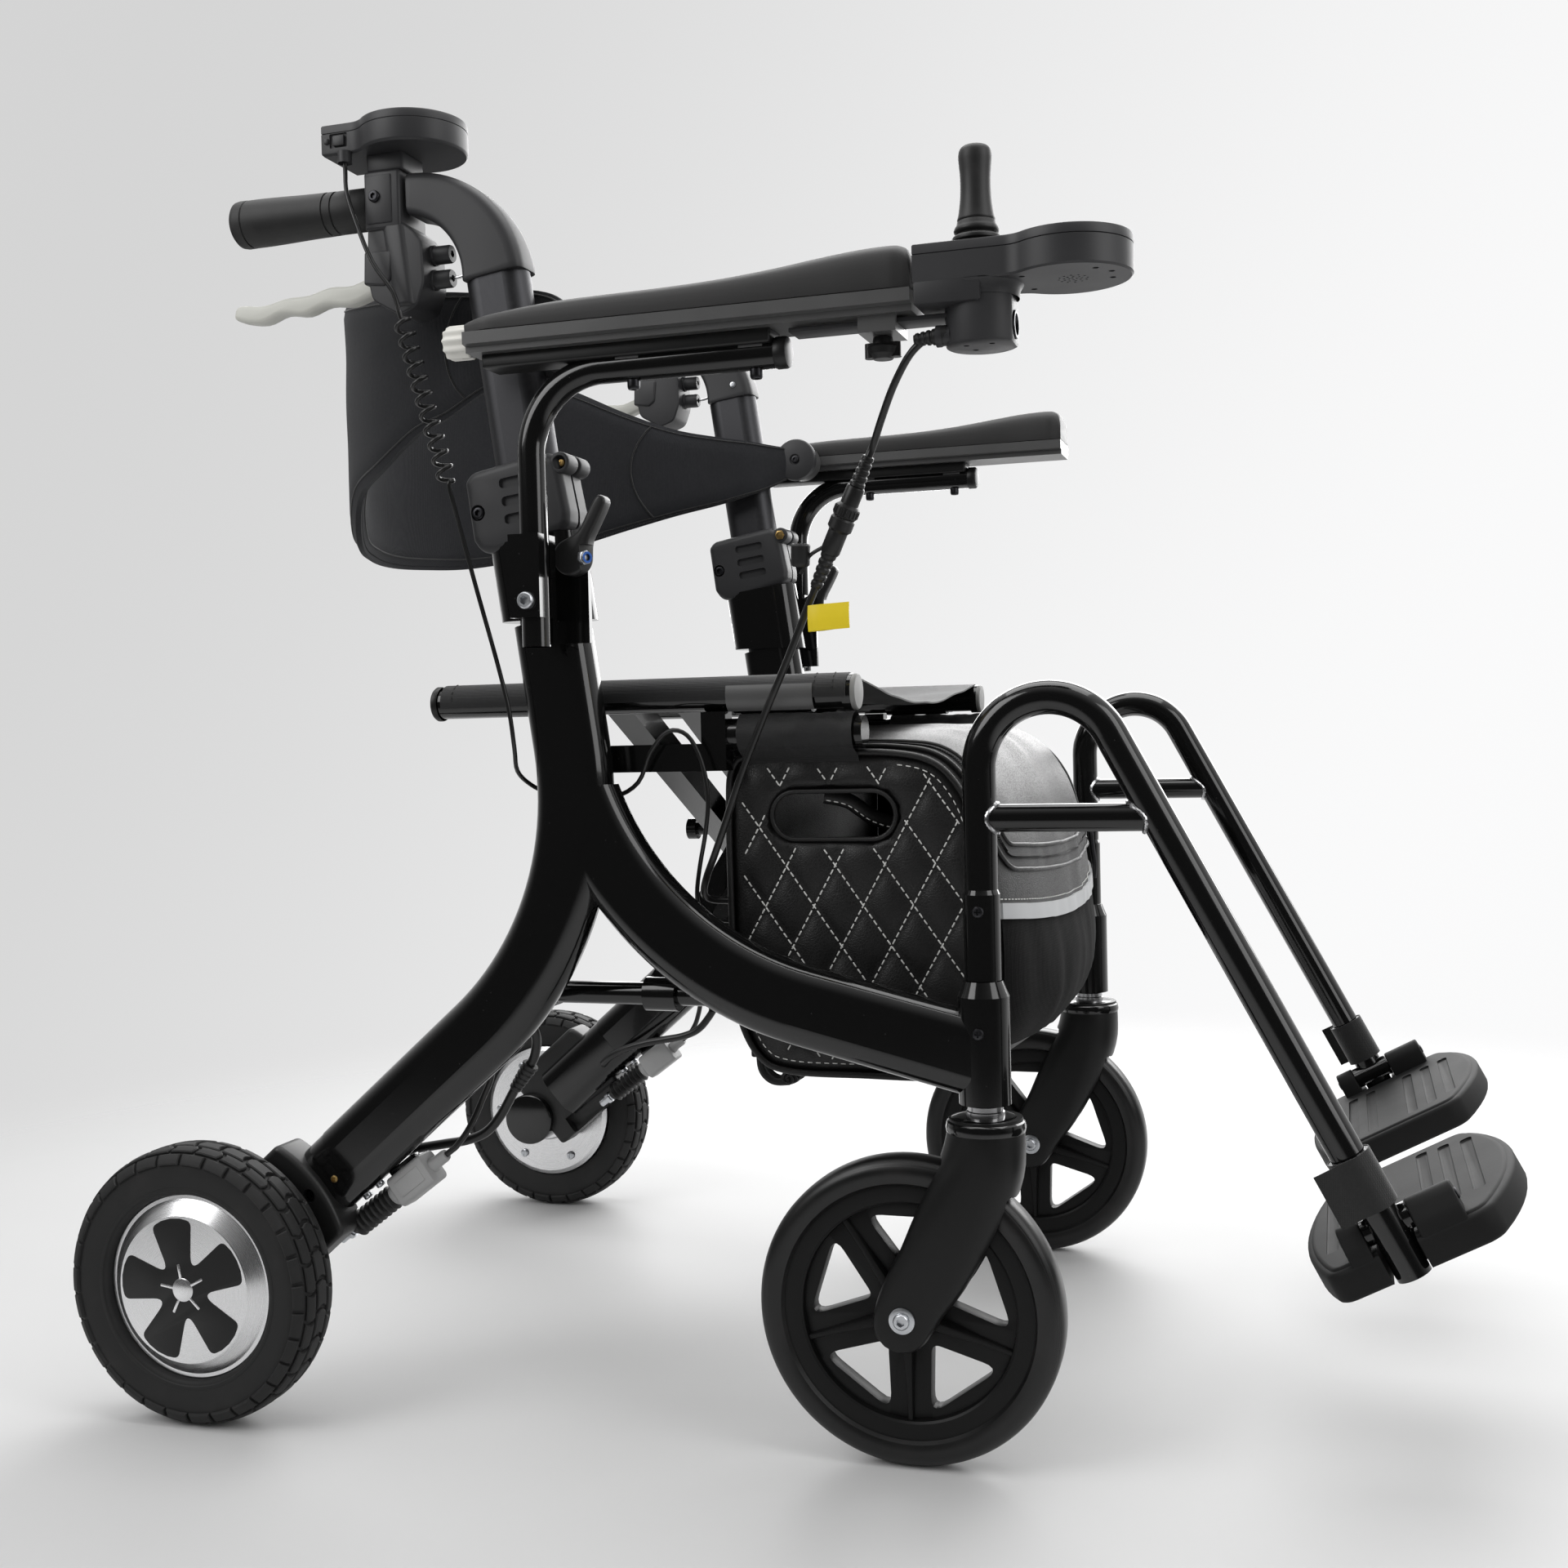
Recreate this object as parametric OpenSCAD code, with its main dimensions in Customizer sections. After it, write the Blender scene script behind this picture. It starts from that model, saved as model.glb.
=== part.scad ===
// Rollator transport chair with folding side frames, hub motors and a joystick.
// Millimetres, Z up, X forward, the user's right hand side at negative Y.
// Lengths along X are measured from the rear axle, then the whole chair is moved
// so that the origin lies on the floor under the middle of its box.

/* [Side frames] */
// Half the distance between the mid planes of the side frames
frame_y = 248; // [244:1:256]
// Width of the flat oval frame tube, seen from the side
tube_w = 55; // [52:1:58]
// Thickness of the flat oval frame tube
tube_t = 34; // [32:1:35]
// Thickness of the front leg tube
front_t = 32; // [28:1:32]
// Backward lean of the posts in degrees
post_rake = 8; // [6:0.5:10]
// Height of the top of the posts
post_top_z = 565; // [556:1:572]
// Post axis at its top, ahead of the rear axle
post_top_x = 266; // [262:1:270]
// Slope of the rear legs in degrees
leg_slope = 41; // [39:0.5:43]
// Slope of the front legs in degrees
front_slope = 14; // [12:0.5:15]
// Centre line radius of the frame bends
bend_r = 227; // [215:1:235]
// Height of the front leg's axis at the castor head
front_head_z = 271; // [268:1:274]

/* [Wheels] */
// Diameter of the rear hub motor tyres
rear_d = 200; // [190:2:204]
// Width of the rear tyres
rear_w = 50; // [44:1:52]
// Half the distance between the rear wheels
rear_y = 298; // [296:1:304]
// Diameter of the front castor wheels
front_d = 205; // [195:1:207]
// Width of the front tyres
front_w = 30; // [26:1:31]
// Castor stem ahead of the rear axle
castor_x = 564; // [556:1:572]
// Castor trail
trail = 52.5; // [48:0.5:56]
// Diameter of the castor head
head_d = 34; // [33:0.5:38]
// Diameter of the castor stem
stem_d = 16; // [14:1:17]

/* [Handles] */
// Width of the oval handle tube
handle_w = 46; // [42:1:47]
// Thickness of the oval handle tube
handle_t = 28; // [26:1:29]
// Height of the top of the handle tube
handle_top_z = 805; // [795:1:815]
// Height of the grip axis
grip_z = 864; // [862:1:868]
// Diameter of the grip bar
bar_d = 22; // [20:1:23]
// Length of the grips
grip_len = 112; // [100:1:120]
// Diameter of the grip at its end
grip_d = 34; // [30:1:35]

/* [Armrests] */
// Half the distance between the armrests
arm_y = 301; // [298:1:306]
// Width of the armrest pads
pad_w = 50; // [46:1:50]
// Length of the armrest pads
pad_len = 300; // [290:1:304]
// Diameter of the armrest tube
arm_tube_d = 19; // [17:0.5:20]
// Height of the armrest tube
arm_tube_z = 724; // [718:1:724]
// Armrest tube upright ahead of the rear axle
arm_post_x = 279; // [278:1:280]

/* [Seat and braces] */
// Half the distance between the seat rails
rail_y = 215; // [210:1:215]
// Height of the seat rails
rail_z = 511; // [509:1:516]
// Diameter of the seat rails
rail_d = 22; // [20:1:22]
// Length of the seat rails
rail_len = 315; // [300:1:330]
// Height of the lower rails
lower_rail_z = 302; // [298:1:306]
// Diameter of the lower rails
lower_rail_d = 16; // [14:1:18]
// Side of the square brace bars
brace_w = 20; // [18:1:22]
// Sag of the seat sling at its middle
seat_sag = 20; // [8:1:24]

/* [Leg rests] */
// Diameter of the leg rest tube
leg_tube_d = 22; // [20:1:24]
// Height of the arch of the leg rest
arch_z = 503; // [495:1:510]
// Slope of the lower part of the leg rest in degrees
leg_tilt = 62; // [60:0.5:64]
// Radius of the arch
arch_r = 45; // [42:1:48]
// Height of the lower end of the leg rest
leg_end_z = 147; // [142:1:152]
// Width of a footplate
plate_w = 205; // [180:1:208]
// Length of a footplate
plate_len = 145; // [135:1:150]

/* [Controls] */
// Height of the top of the joystick box
box_top_z = 776; // [774:1:780]
// Radius of the round end of the joystick box
pear_r = 38; // [34:1:40]
// Height of the joystick above its box
stick_h = 61; // [55:1:66]
// Number of curls in the controller cord
curls = 12; // [8:1:14]
// Diameter of the coil
coil_d = 12; // [11:0.5:14]

/* [Bag] */
// Half width of the bag
bag_y = 211; // [200:1:211]
// Wall of the bag
bag_wall = 4; // [3:0.5:6]

/* [Fits] */
// Radial clearance of pins in bores
pin_gap = 0.08; // [0.02:0.01:0.1]
// Clearance of sliding tubes
slide_gap = 0.3; // [0.3:0.05:0.4]
// Gap between fixed pieces that touch
seam = 0.15; // [0.1:0.05:0.3]

/* [Hidden] */
$fn = 48;
black = [0.07, 0.07, 0.07];
plastic = [0.14, 0.14, 0.15];
rubber = [0.1, 0.1, 0.1];
metal = [0.72, 0.73, 0.74];
grey = [0.5, 0.51, 0.52];
cloth = [0.13, 0.14, 0.17];
hide = [0.09, 0.09, 0.1];

rear_r = rear_d / 2;
front_r = front_d / 2;
front_x = castor_x - trail;
rail_x0 = 158;
rail_x1 = rail_x0 + rail_len;
rail_r = rail_d / 2;
arm_x0 = 243;
arm_x1 = arm_x0 + pad_len;
arm_r = arm_tube_d / 2;
seam_z = 751;
channel_z = 738;
clamp_z = 615;
clamp_top_z = 680;
head_z0 = 241;
head_z1 = 321;
leg_r = leg_tube_d / 2;

// Points and directions in the side plane, [x, z]
function unit(a) = [cos(a), sin(a)];
function meet(p, a, q, b) = p + unit(a) * cross(q - p, unit(b)) / cross(unit(a), unit(b));
function post_at(z) = [post_top_x - (z - post_top_z) * tan(post_rake), z];

post_a = post_rake - 90;
leg_a = leg_slope + 180;
axle = [0, rear_r];
leg_turn = post_a + 360 - leg_a;
leg_knee = meet(post_at(post_top_z), post_a, axle, leg_a);
leg_bend_0 = leg_knee - unit(post_a) * bend_r * tan(leg_turn / 2);
leg_bend_1 = leg_knee + unit(leg_a) * bend_r * tan(leg_turn / 2);
leg_bend_c = leg_bend_0 + unit(post_a - 90) * bend_r;
leg_end = axle - unit(leg_a) * 122;

// The front leg starts a little behind the post so that the two walls cross cleanly
tuck = 3;
front_turn = -front_slope - post_a;
front_p = post_at(post_top_z) - unit(post_rake) * tuck;
front_knee = meet(front_p, post_a, [castor_x, front_head_z], -front_slope);
front_bend_0 = front_knee - unit(post_a) * bend_r * tan(front_turn / 2);
front_bend_1 = front_knee + unit(-front_slope) * bend_r * tan(front_turn / 2);
front_bend_c = front_bend_0 + unit(post_rake) * bend_r;

// Leg rest line and footplate hinge
arch_c = [castor_x + arch_r, arch_z - arch_r];
arch_out = arch_c + unit(90 - leg_tilt) * arch_r;
leg_end_p = arch_out + unit(-leg_tilt) * (arch_out.y - leg_end_z) / sin(leg_tilt);
plate_a = 90 - leg_tilt;
hinge_p = leg_end_p - unit(-leg_tilt) * 33;
knuckle_r = 8.5;
crossbar_z = 426;

hinge_in = 4.2;
plate_back = 62;
plate_out = 14;
plate_low = 31.36;
plate_top = 10;
nose_r = 220;
heel_r = 320;
plate_tip = hinge_p.x + (plate_len - plate_back) * cos(plate_a) + plate_low * sin(plate_a);
origin_x = (plate_tip - rear_r) / 2;

// Building blocks

module at(x, y, z) translate([x, y, z]) children();

// A bar along X, from x0 to x1
module bar_x(x0, x1, d) at(x0, 0, 0) rotate([0, 90, 0]) cylinder(d = d, h = x1 - x0);

// A bar along Y, from y0 to y1
module bar_y(y0, y1, d) at(0, y1, 0) rotate([90, 0, 0]) cylinder(d = d, h = y1 - y0);

// A box from one corner to the other
module block(a, b) translate(a) cube(b - a);

// A side view drawn in x and z, given a thickness along Y about its middle
module slab(t) rotate([90, 0, 0]) linear_extrude(t, center = true) children();

// A profile of radius and y, turned about the Y axis; positive profile y points to -Y
module turn_y(a0 = 0, a = 360) rotate([90, 0, 0]) rotate([0, 0, a0]) rotate_extrude(angle = a) children();

module oval(w, t) {
    square([w - t, t], center = true);
    for (s = [-1, 1])
        translate([s * (w - t) / 2, 0])
            circle(d = t);
}

module round_square(w, h, r) {
    square([w - 2 * r, h], center = true);
    square([w, h - 2 * r], center = true);
    for (i = [-1, 1], j = [-1, 1])
        translate([i * (w / 2 - r), j * (h / 2 - r)])
            circle(r = r);
}

// A straight run in the side plane between two [x, z] points
module run(p, q) {
    d = q - p;
    at(p.x, 0, p.y) rotate([0, atan2(d.x, d.y), 0]) linear_extrude(norm(d)) children();
}

// A bend in the side plane about an [x, z] centre
module bend(c, r, a0, a1) at(c.x, 0, c.y) turn_y(a0, a1 - a0) translate([r, 0]) children();

// A core that joins a run to a bend at p, along direction a, across a hair's breadth
hair = 0.02;
module core(p, a, reach) run(p - unit(a) * reach, p + unit(a) * reach) children();

// A tube through a list of points; ring directions lie halfway between the runs
function along(p, i) =
    let (n = len(p) - 1, d = p[min(i + 1, n)] - p[max(i - 1, 0)])
    d / norm(d);
function side_of(t) =
    let (h = abs(t.z) < 0.9 ? [0, 0, 1] : [1, 0, 0], s = cross(h, t))
    s / norm(s);
function carried(u, t) =
    let (s = u - t * (u * t))
    s / norm(s);
function sides_along(p, i, u) =
    i == len(p) ? [] :
    let (v = carried(u, along(p, i)))
    concat([v], sides_along(p, i + 1, v));
module tube(p, d, sides = 8) {
    n = len(p);
    us = sides_along(p, 0, side_of(along(p, 0)));
    points = [
        for (i = [0 : n - 1])
            let (t = along(p, i), u = us[i], v = cross(t, u))
            for (k = [0 : sides - 1])
                p[i] + (u * cos(k * 360 / sides) + v * sin(k * 360 / sides)) * d / 2
    ];
    faces = concat(
        [[for (k = [0 : sides - 1]) k]],
        [for (i = [0 : n - 2], k = [0 : sides - 1])
            let (a = i * sides + k, b = i * sides + (k + 1) % sides)
            [a, a + sides, b + sides, b]],
        [[for (k = [sides - 1 : -1 : 0]) (n - 1) * sides + k]]
    );
    polyhedron(points, faces, convexity = 10);
}

// Smooth path through hand chosen points, three steps to a span
function smooth(p, steps = 3) =
    let (n = len(p) - 1)
    concat(
        [for (i = [0 : n - 1], k = [0 : steps - 1])
            let (
                t = k / steps,
                a = p[max(i - 1, 0)],
                b = p[i],
                c = p[i + 1],
                e = p[min(i + 2, n)]
            )
            0.5 * (2 * b + (c - a) * t + (2 * a - 5 * b + 4 * c - e) * t * t
                + (3 * b - a - 3 * c + e) * t * t * t)],
        [p[n]]
    );

// Side frame pieces, drawn for the right hand side

module on_frame() at(-origin_x, -frame_y, 0) children();

module leg_bend() bend(leg_bend_c, bend_r, leg_a - 270, post_rake) oval(tube_w, tube_t);

module leg_shape() {
    run(post_at(post_top_z), leg_bend_0 - unit(post_a) * hair) oval(tube_w, tube_t);
    leg_bend();
    run(leg_bend_1 + unit(leg_a) * hair, leg_end) oval(tube_w, tube_t);
    core(leg_bend_0, post_a, 5) oval(tube_w - 6, tube_t - 6);
    core(leg_bend_1, leg_a, 5) oval(tube_w - 6, tube_t - 6);
}

arm_in = arm_y - frame_y;
bracket = 26;
bracket_foot = post_top_z - 17;
bracket_z0 = post_top_z - 1;
bracket_z1 = post_top_z + 54;
cam_x = arm_post_x + 19;
cam_z = 605;
cam_y = -arm_in + bracket / 2 + 6.8;

module right_rear_leg() color(black) on_frame() {
    difference() {
        union() {
            leg_shape();
            // Foot on the post, and the open bracket that it carries
            block([arm_post_x - 9, -arm_in + arm_r + 0.7, bracket_foot], [arm_post_x + 9, -tube_t / 2 + 2, post_top_z - 2]);
            block([arm_post_x - 9, -arm_in + arm_r + 0.7, bracket_foot], [arm_post_x + 9, -arm_in + bracket / 2, bracket_z0 + 9]);
            block(
                [arm_post_x - bracket / 2, -arm_in - bracket / 2, bracket_z0],
                [arm_post_x + arm_r - 0.5, -arm_in + bracket / 2, bracket_z1]
            );
            // Cheek and pin of the cam lever
            block([arm_post_x, -25.2, bracket_foot], [cam_x + 7, -20.6, cam_z + 9]);
            at(cam_x, 0, cam_z) bar_y(cam_y - 6.4, -22, 6);
        }
        run(post_at(post_top_z + 1), post_at(486)) oval(handle_w + 2 * slide_gap, handle_t + 2 * slide_gap);
        at(arm_post_x, -arm_in, bracket_foot - 1) cylinder(r = arm_r + slide_gap, h = 100);
    }
}

module right_front_leg() color(black) on_frame() {
    difference() {
        union() {
            difference() {
                union() {
                    bend(front_bend_c, bend_r, post_rake + 180, 270 - front_slope) oval(tube_w, front_t);
                    run(front_bend_1 + unit(-front_slope) * hair, [castor_x, front_head_z]) oval(tube_w, front_t);
                    core(front_bend_1, -front_slope, 6) oval(tube_w - 6, front_t - 6);
                }
                // Keep only what stands clear of the rear leg, with a coped end
                at(front_bend_0.x - 5, 0, front_bend_0.y)
                    rotate([0, -post_rake, 0])
                        block([-80, -40, -90], [0, 40, 60]);
                block([200, -40, leg_bend_0.y - 27], [400, 40, 560]);
                leg_bend();
            }
            at(castor_x, 0, head_z0) cylinder(d = head_d, h = head_z1 - 10 - head_z0);
            at(castor_x, 0, head_z1 - 10) cylinder(d1 = head_d, d2 = leg_tube_d + 4, h = 10);
        }
        at(castor_x, 0, head_z0 - 1) cylinder(r = stem_d / 2 + pin_gap, h = 52);
        at(castor_x, 0, head_z1 - 25) cylinder(r = 9 + pin_gap, h = 40);
    }
}

lower_in = frame_y - rail_y;

module right_rails() color(black) on_frame() {
    inner = tube_t / 2 + seam;
    at(0, lower_in, lower_rail_z) bar_x(228, 376, lower_rail_d);
    block([228, inner, lower_rail_z - 10], [246, lower_in + 10, lower_rail_z + 10]);
    block([368.5, front_t / 2 + seam, lower_rail_z - 9], [377, lower_in + 9, lower_rail_z + 43]);
    // Flat bar, seat saddle and bag rail
    block([268, inner, 459], [290, inner + 12, 478]);
    block([268, inner + 4, 459], [384, inner + 12, 478]);
    block([366, inner + 4, 459], [384, lower_in + 2, rail_z - rail_r - seam]);
    at(0, lower_in, 484) bar_x(370, 480, 22);
}

brake_a = 37;
brake_p = [88, 126];
module on_brake() at(brake_p.x, 8, brake_p.y) rotate([0, 90 - brake_a, 0]) children();

module cover_plan(edge) intersection() {
    circle(r = rear_r - 3 - edge);
    rotate(leg_slope) translate([0, edge - 37]) square([rear_r, 74 - 2 * edge]);
}

module right_wheel_mount() color(black) on_frame() difference() {
    union() {
        run(leg_end + unit(leg_a) * seam, axle) oval(tube_w - 1, tube_t - 1);
        at(0, 0, rear_r) bar_y(-15, 15, 50);
        at(0, 0, rear_r) bar_y(frame_y - rear_y - 14, 0, 12);
        // Rounded cover beside the tyre, stepped toward its outer face
        for (i = [[0, 8, -16], [1.2, -15, -19], [4, -18, -22]])
            at(0, (i[1] + i[2]) / 2, rear_r) slab(i[1] - i[2]) cover_plan(i[0]);
    }
    // Room for the brake
    on_brake() cylinder(r = 10.5, h = 120, center = true);
    // Recess of the cover's screw
    at(70, 0, 158) bar_y(-30, -17, 8);
}

module right_post_clamp() color(plastic) on_frame() {
    difference() {
        union() {
            run(post_at(post_top_z + seam), post_at(clamp_z)) oval(tube_w + 3, tube_t + 3);
            run(post_at(clamp_z - 1), post_at(clamp_top_z)) round_square(85, 38, 12);
            // Bolt boss
            at(post_at(668).x + 38, 0, 668) bar_y(-17, 17, 14);
        }
        run(post_at(post_top_z - 5), post_at(clamp_top_z + 5)) oval(handle_w + 2 * slide_gap, handle_t + 2 * slide_gap);
        // Three finger slots on the outer face
        for (z = [636, 648.5, 661])
            at(post_at(z).x - 8, -19, z) rotate([0, -post_rake, 0]) cube([28, 5, 6], center = true);
        // Recessed screw, and the slope of the top
        at(post_at(641).x - 35, 0, 641) bar_y(-30, -14, 9);
        at(post_at(678).x, 0, 678) rotate([0, -15, 0]) block([-70, -30, 0], [0, 30, 30]);
        // Clamping slit
        at(post_at(660).x + 34, 0, 655) rotate([0, -post_rake, 0]) cube([26, 3, 60], center = true);
    }
}

module right_brake_unit() color(grey) on_frame() {
    on_brake() {
        rotate_extrude() polygon(concat(
            [[0, -18], [4, -18], [4, -3]],
            [for (i = [0 : 7]) each [[6.5, i * 5], [9.5, i * 5 + 2.5]]],
            [[6.5, 40], [8, 41], [8, 47], [0, 47]]
        ));
        at(0, 0, 46) linear_extrude(34) round_square(24, 22, 5);
        at(0, 0, 79) cylinder(d = 9, h = 16);
        block([-13.5, -6, 50], [-6, 4, 74]);
    }
}

module right_motor_lead() color(rubber) on_frame() {
    tube(smooth([
        [232, 25, 254], [226, 25, 248], [214, 26, 231], [202, 27, 212], [190, 27, 199], [174, 27, 192],
        [154, 27, 188], [134, 27, 184], [114, 27, 178], [98, 26, 170], [88, 22, 162], [86, 17.6, 160]
    ], 2), 7);
    // Ribbed strain relief
    at(226, 25, 248) rotate([0, 218, 0]) rotate_extrude() difference() {
        polygon(concat(
            [[0, 0]],
            [for (i = [0 : 4]) each [[6.4, i * 4], [6.4, i * 4 + 2.4], [4.8, i * 4 + 2.5], [4.8, i * 4 + 3.9]]],
            [[4.6, 20], [0, 20]]
        ));
        square([3.9, 60], center = true);
    }
}

module rear_ring(p) at(-origin_x, -rear_y + rear_w / 2, rear_r) turn_y() polygon(p);

hub_r = 66;

module right_rear_tyre() color(rubber) {
    w = rear_w;
    rear_ring([
        [hub_r + seam, 4], [hub_r + seam, w - 8], [hub_r + 8, w - 2.5], [rear_r - 14, w], [rear_r - 6, w - 2],
        [rear_r - 1.5, w - 9], [rear_r, w - 17], [rear_r, 17], [rear_r - 1.5, 9], [rear_r - 6, 2],
        [rear_r - 14, 0], [hub_r + 8, 2.5]
    ]);
}

module right_rear_hub() color(metal) difference() {
    union() {
        rear_ring([
            [0, 1], [28, 1], [30, 3], [62, 3], [hub_r, 5], [hub_r, rear_w - 9], [60, rear_w - 7],
            [58, rear_w - 4], [48, rear_w - 1], [0, rear_w - 1]
        ]);
    }
    at(-origin_x, -rear_y, rear_r) {
        // Axle bore, open on the inner face
        bar_y(-15, rear_w, 12 + 2 * pin_gap);
        // Five fan shaped inlays in the outer face
        for (i = [0 : 4])
            rotate([0, i * 72 + 10, 0]) at(0, -rear_w / 2 + 1, 0) slab(2.4) fan(17, 45, 25);
        // Six screw seats in the inner face
        for (i = [0 : 5])
            rotate([0, i * 60, 0]) at(52, 0, 0) bar_y(rear_w / 2 - 4.5, rear_w / 2, 6);
    }
}

// A ring sector seen from the side, half angle a
module fan(r0, r1, a) difference() {
    intersection() {
        circle(r = r1);
        polygon([[0, 0], [2 * r1 * cos(a), 2 * r1 * sin(a)], [2 * r1 * cos(a), -2 * r1 * sin(a)]]);
    }
    circle(r = r0);
}

module on_front() at(front_x - origin_x, -frame_y, front_r) children();

fork_in = front_w / 2 + 3;

module right_fork() color(plastic) at(-origin_x, -frame_y, 0) {
    difference() {
        union() {
            slab(2 * fork_in + 16) {
                polygon([
                    [castor_x - 24, 222], [castor_x + 25, 222], [castor_x + 21, 200], [castor_x - 3, 140],
                    [front_x + 19, front_r - 9], [front_x - 18, front_r + 11], [front_x + 2, 140],
                    [castor_x - 27, 200]
                ]);
                translate([front_x, front_r]) circle(r = 21);
            }
        }
        at(front_x, 0, front_r) bar_y(-fork_in, fork_in, front_d + 11);
    }
    at(front_x, 0, front_r) bar_y(-fork_in - 7, fork_in + 7, 8);
    at(castor_x, 0, 0) rotate_extrude() polygon([
        [0, 210], [20, 210], [24, 221], [25, 226], [24, 230], [20, 233], [15, 234], [15, head_z0 - 0.4],
        [stem_d / 2, head_z0 - 0.4], [stem_d / 2, head_z0 + 48], [0, head_z0 + 48]
    ]);
}

rim_r = 84;

module right_front_rim() color(plastic) on_front() difference() {
    union() {
        slab(12) difference() {
            circle(r = rim_r - 4);
            for (i = [0 : 4])
                rotate(i * 72 + 18) fan(26, 69, 24);
        }
        turn_y() polygon([[68, -9], [rim_r, -11], [rim_r, 11], [68, 9]]);
        bar_y(-fork_in + 1, fork_in - 1, 36);
        // Raised ribs along the spokes
        for (i = [0 : 4])
            rotate([0, i * 72 + 18, 0]) block([14, -8, -4], [70, 8, 4]);
    }
    bar_y(-30, 30, 8 + 2 * pin_gap);
}

module right_front_tyre() color(rubber) on_front() turn_y() polygon([
    [rim_r + seam, -11], [rim_r + seam, 11], [rim_r + 5, front_w / 2], [front_r - 6, front_w / 2],
    [front_r - 1.5, front_w / 2 - 4], [front_r, front_w / 2 - 9], [front_r, 9 - front_w / 2],
    [front_r - 1.5, 4 - front_w / 2], [front_r - 6, -front_w / 2], [rim_r + 5, -front_w / 2]
]);

// Handles

module right_handle_tube() color(black) on_frame()
    run(post_at(525), post_at(handle_top_z)) oval(handle_w, handle_t);

elbow_p = post_at(handle_top_z + seam);
elbow_r = 62;
elbow_c = elbow_p - unit(post_rake) * elbow_r;
bar_x1 = elbow_c.x + 1;
grip_x1 = 137;
grip_x0 = grip_x1 - grip_len;

module right_elbow() color(plastic) on_frame() {
    slab(handle_t + 4) difference() {
        translate(elbow_c) intersection() {
            circle(r = elbow_r + 24);
            polygon([[0, 0], 200 * unit(post_rake), 200 * unit(50), [0, 200]]);
        }
        translate(elbow_c + [-8, 9]) circle(r = elbow_r - 14);
    }
    at(0, 0, grip_z) bar_x(grip_x0 + 5, bar_x1, bar_d);
}

module right_grip() color(rubber) on_frame() at(grip_x1, 0, grip_z) rotate([0, -90, 0]) difference() {
    rotate_extrude() polygon([
        [0, 0], [16, 0], [16, 3], [14, 4], [14, 6], [15.5, 7], [15.5, 9], [14, 10], [14.2, 40],
        [15.5, grip_len - 25], [grip_d / 2, grip_len - 8], [grip_d / 2, grip_len - 4],
        [grip_d / 2 - 3, grip_len], [0, grip_len]
    ]);
    at(0, 0, -1) cylinder(d = bar_d + 2 * seam, h = grip_len - 3);
}

lever_p = [150, 810];

module right_brake_housing() color(plastic) on_frame() {
    difference() {
        union() {
            block([grip_x1 + 2, -19, 843], [167, 19, 884]);
            slab(34) polygon([
                [139, 846], [167, 846], [177, 840], [183, 833], [183, 803], [176, 787], [160, 783], [141, 797], [138, 812]
            ]);
            for (z = [826, 809])
                at(0, 0, z) bar_x(180, 197, 13);
        }
        at(0, 0, grip_z) bar_x(100, 200, bar_d + 2 * seam);
        block([120, -8, 794], [161, 8, 825]);
    }
    at(lever_p.x, 0, lever_p.y) bar_y(-12, 12, 6);
}

module right_brake_lever() color(plastic) on_frame() difference() {
    slab(14) {
        polygon([
            [150, 818], [138, 816], [120, 809], [102, 811], [84, 806], [66, 807], [46, 802], [27, 805], [22, 800],
            [24, 794], [44, 790], [62, 796], [80, 793], [98, 799], [118, 796], [138, 803], [150, 802]
        ]);
        translate(lever_p) circle(r = 8.5);
    }
    at(lever_p.x, 0, lever_p.y) bar_y(-20, 20, 6 + 2 * pin_gap);
}

module right_cam_lever() color(grey) on_frame() at(cam_x, cam_y, cam_z) difference() {
    union() {
        bar_y(-6.5, 6.5, 25);
        slab(12) polygon([[-4, 6], [3, 13], [12, 30], [18, 38], [22, 40], [26, 38], [26, 33], [20, 22], [13, 11], [12, 0]]);
    }
    bar_y(-20, 20, 6 + 2 * pin_gap);
}

// Armrests

arm_bend = 52;
pivot_p = [294, 745];

module on_arm() at(-origin_x, -arm_y, 0) children();

module right_arm_tube() color(black) on_arm() {
    c = [arm_post_x + arm_bend, arm_tube_z - arm_bend];
    at(arm_post_x, 0, 545) cylinder(r = arm_r, h = c.y - 545);
    bend(c, arm_bend, 90, 180) circle(r = arm_r);
    at(0, 0, arm_tube_z) bar_x(c.x, 458, arm_tube_d);
}

strip_w = 24;
guide_x = arm_x1 - 35;

module arm_channel_shape() {
    // Stepped tray under the pad
    at(arm_x0, 0, 0) rotate([90, 0, 90]) linear_extrude(pad_len) polygon([
        [-20, channel_z], [20, channel_z], [20, 742], [pad_w / 2, 743], [pad_w / 2, seam_z],
        [-pad_w / 2, seam_z], [-pad_w / 2, 743], [-20, 742]
    ]);
    // Round end cap at the back
    at(0, 0, 745) bar_x(arm_x0 - 13, arm_x0, 11);
    // Saddles on the tube
    for (x = [344, 428])
        difference() {
            block([x, -9, arm_tube_z + 2], [x + 16, 9, channel_z]);
            at(0, 0, arm_tube_z) bar_x(x - 1, x + 17, arm_tube_d + 2 * seam);
        }
    // Pivot disc of the backrest on the inner side
    at(pivot_p.x, pad_w / 2, pivot_p.y) bar_y(seam, 17, 34);
    at(pivot_p.x, pad_w / 2, pivot_p.y - 1) bar_y(-4, 2, 9);
}

module right_arm_channel() color(black) on_arm() {
    arm_channel_shape();
    // Guide of the joystick strip, bored for the thumb screw
    difference() {
        block([guide_x, -16, 728], [guide_x + 24, 16, channel_z]);
        block([guide_x - 1, -strip_w / 2 - slide_gap, 733.4], [guide_x + 25, strip_w / 2 + slide_gap, channel_z - 0.1]);
        at(guide_x + 12, 0, 720) cylinder(r = 3 + pin_gap, h = 16);
    }
}

module left_arm_channel() color(black) flipped() on_arm() arm_channel_shape();

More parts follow.
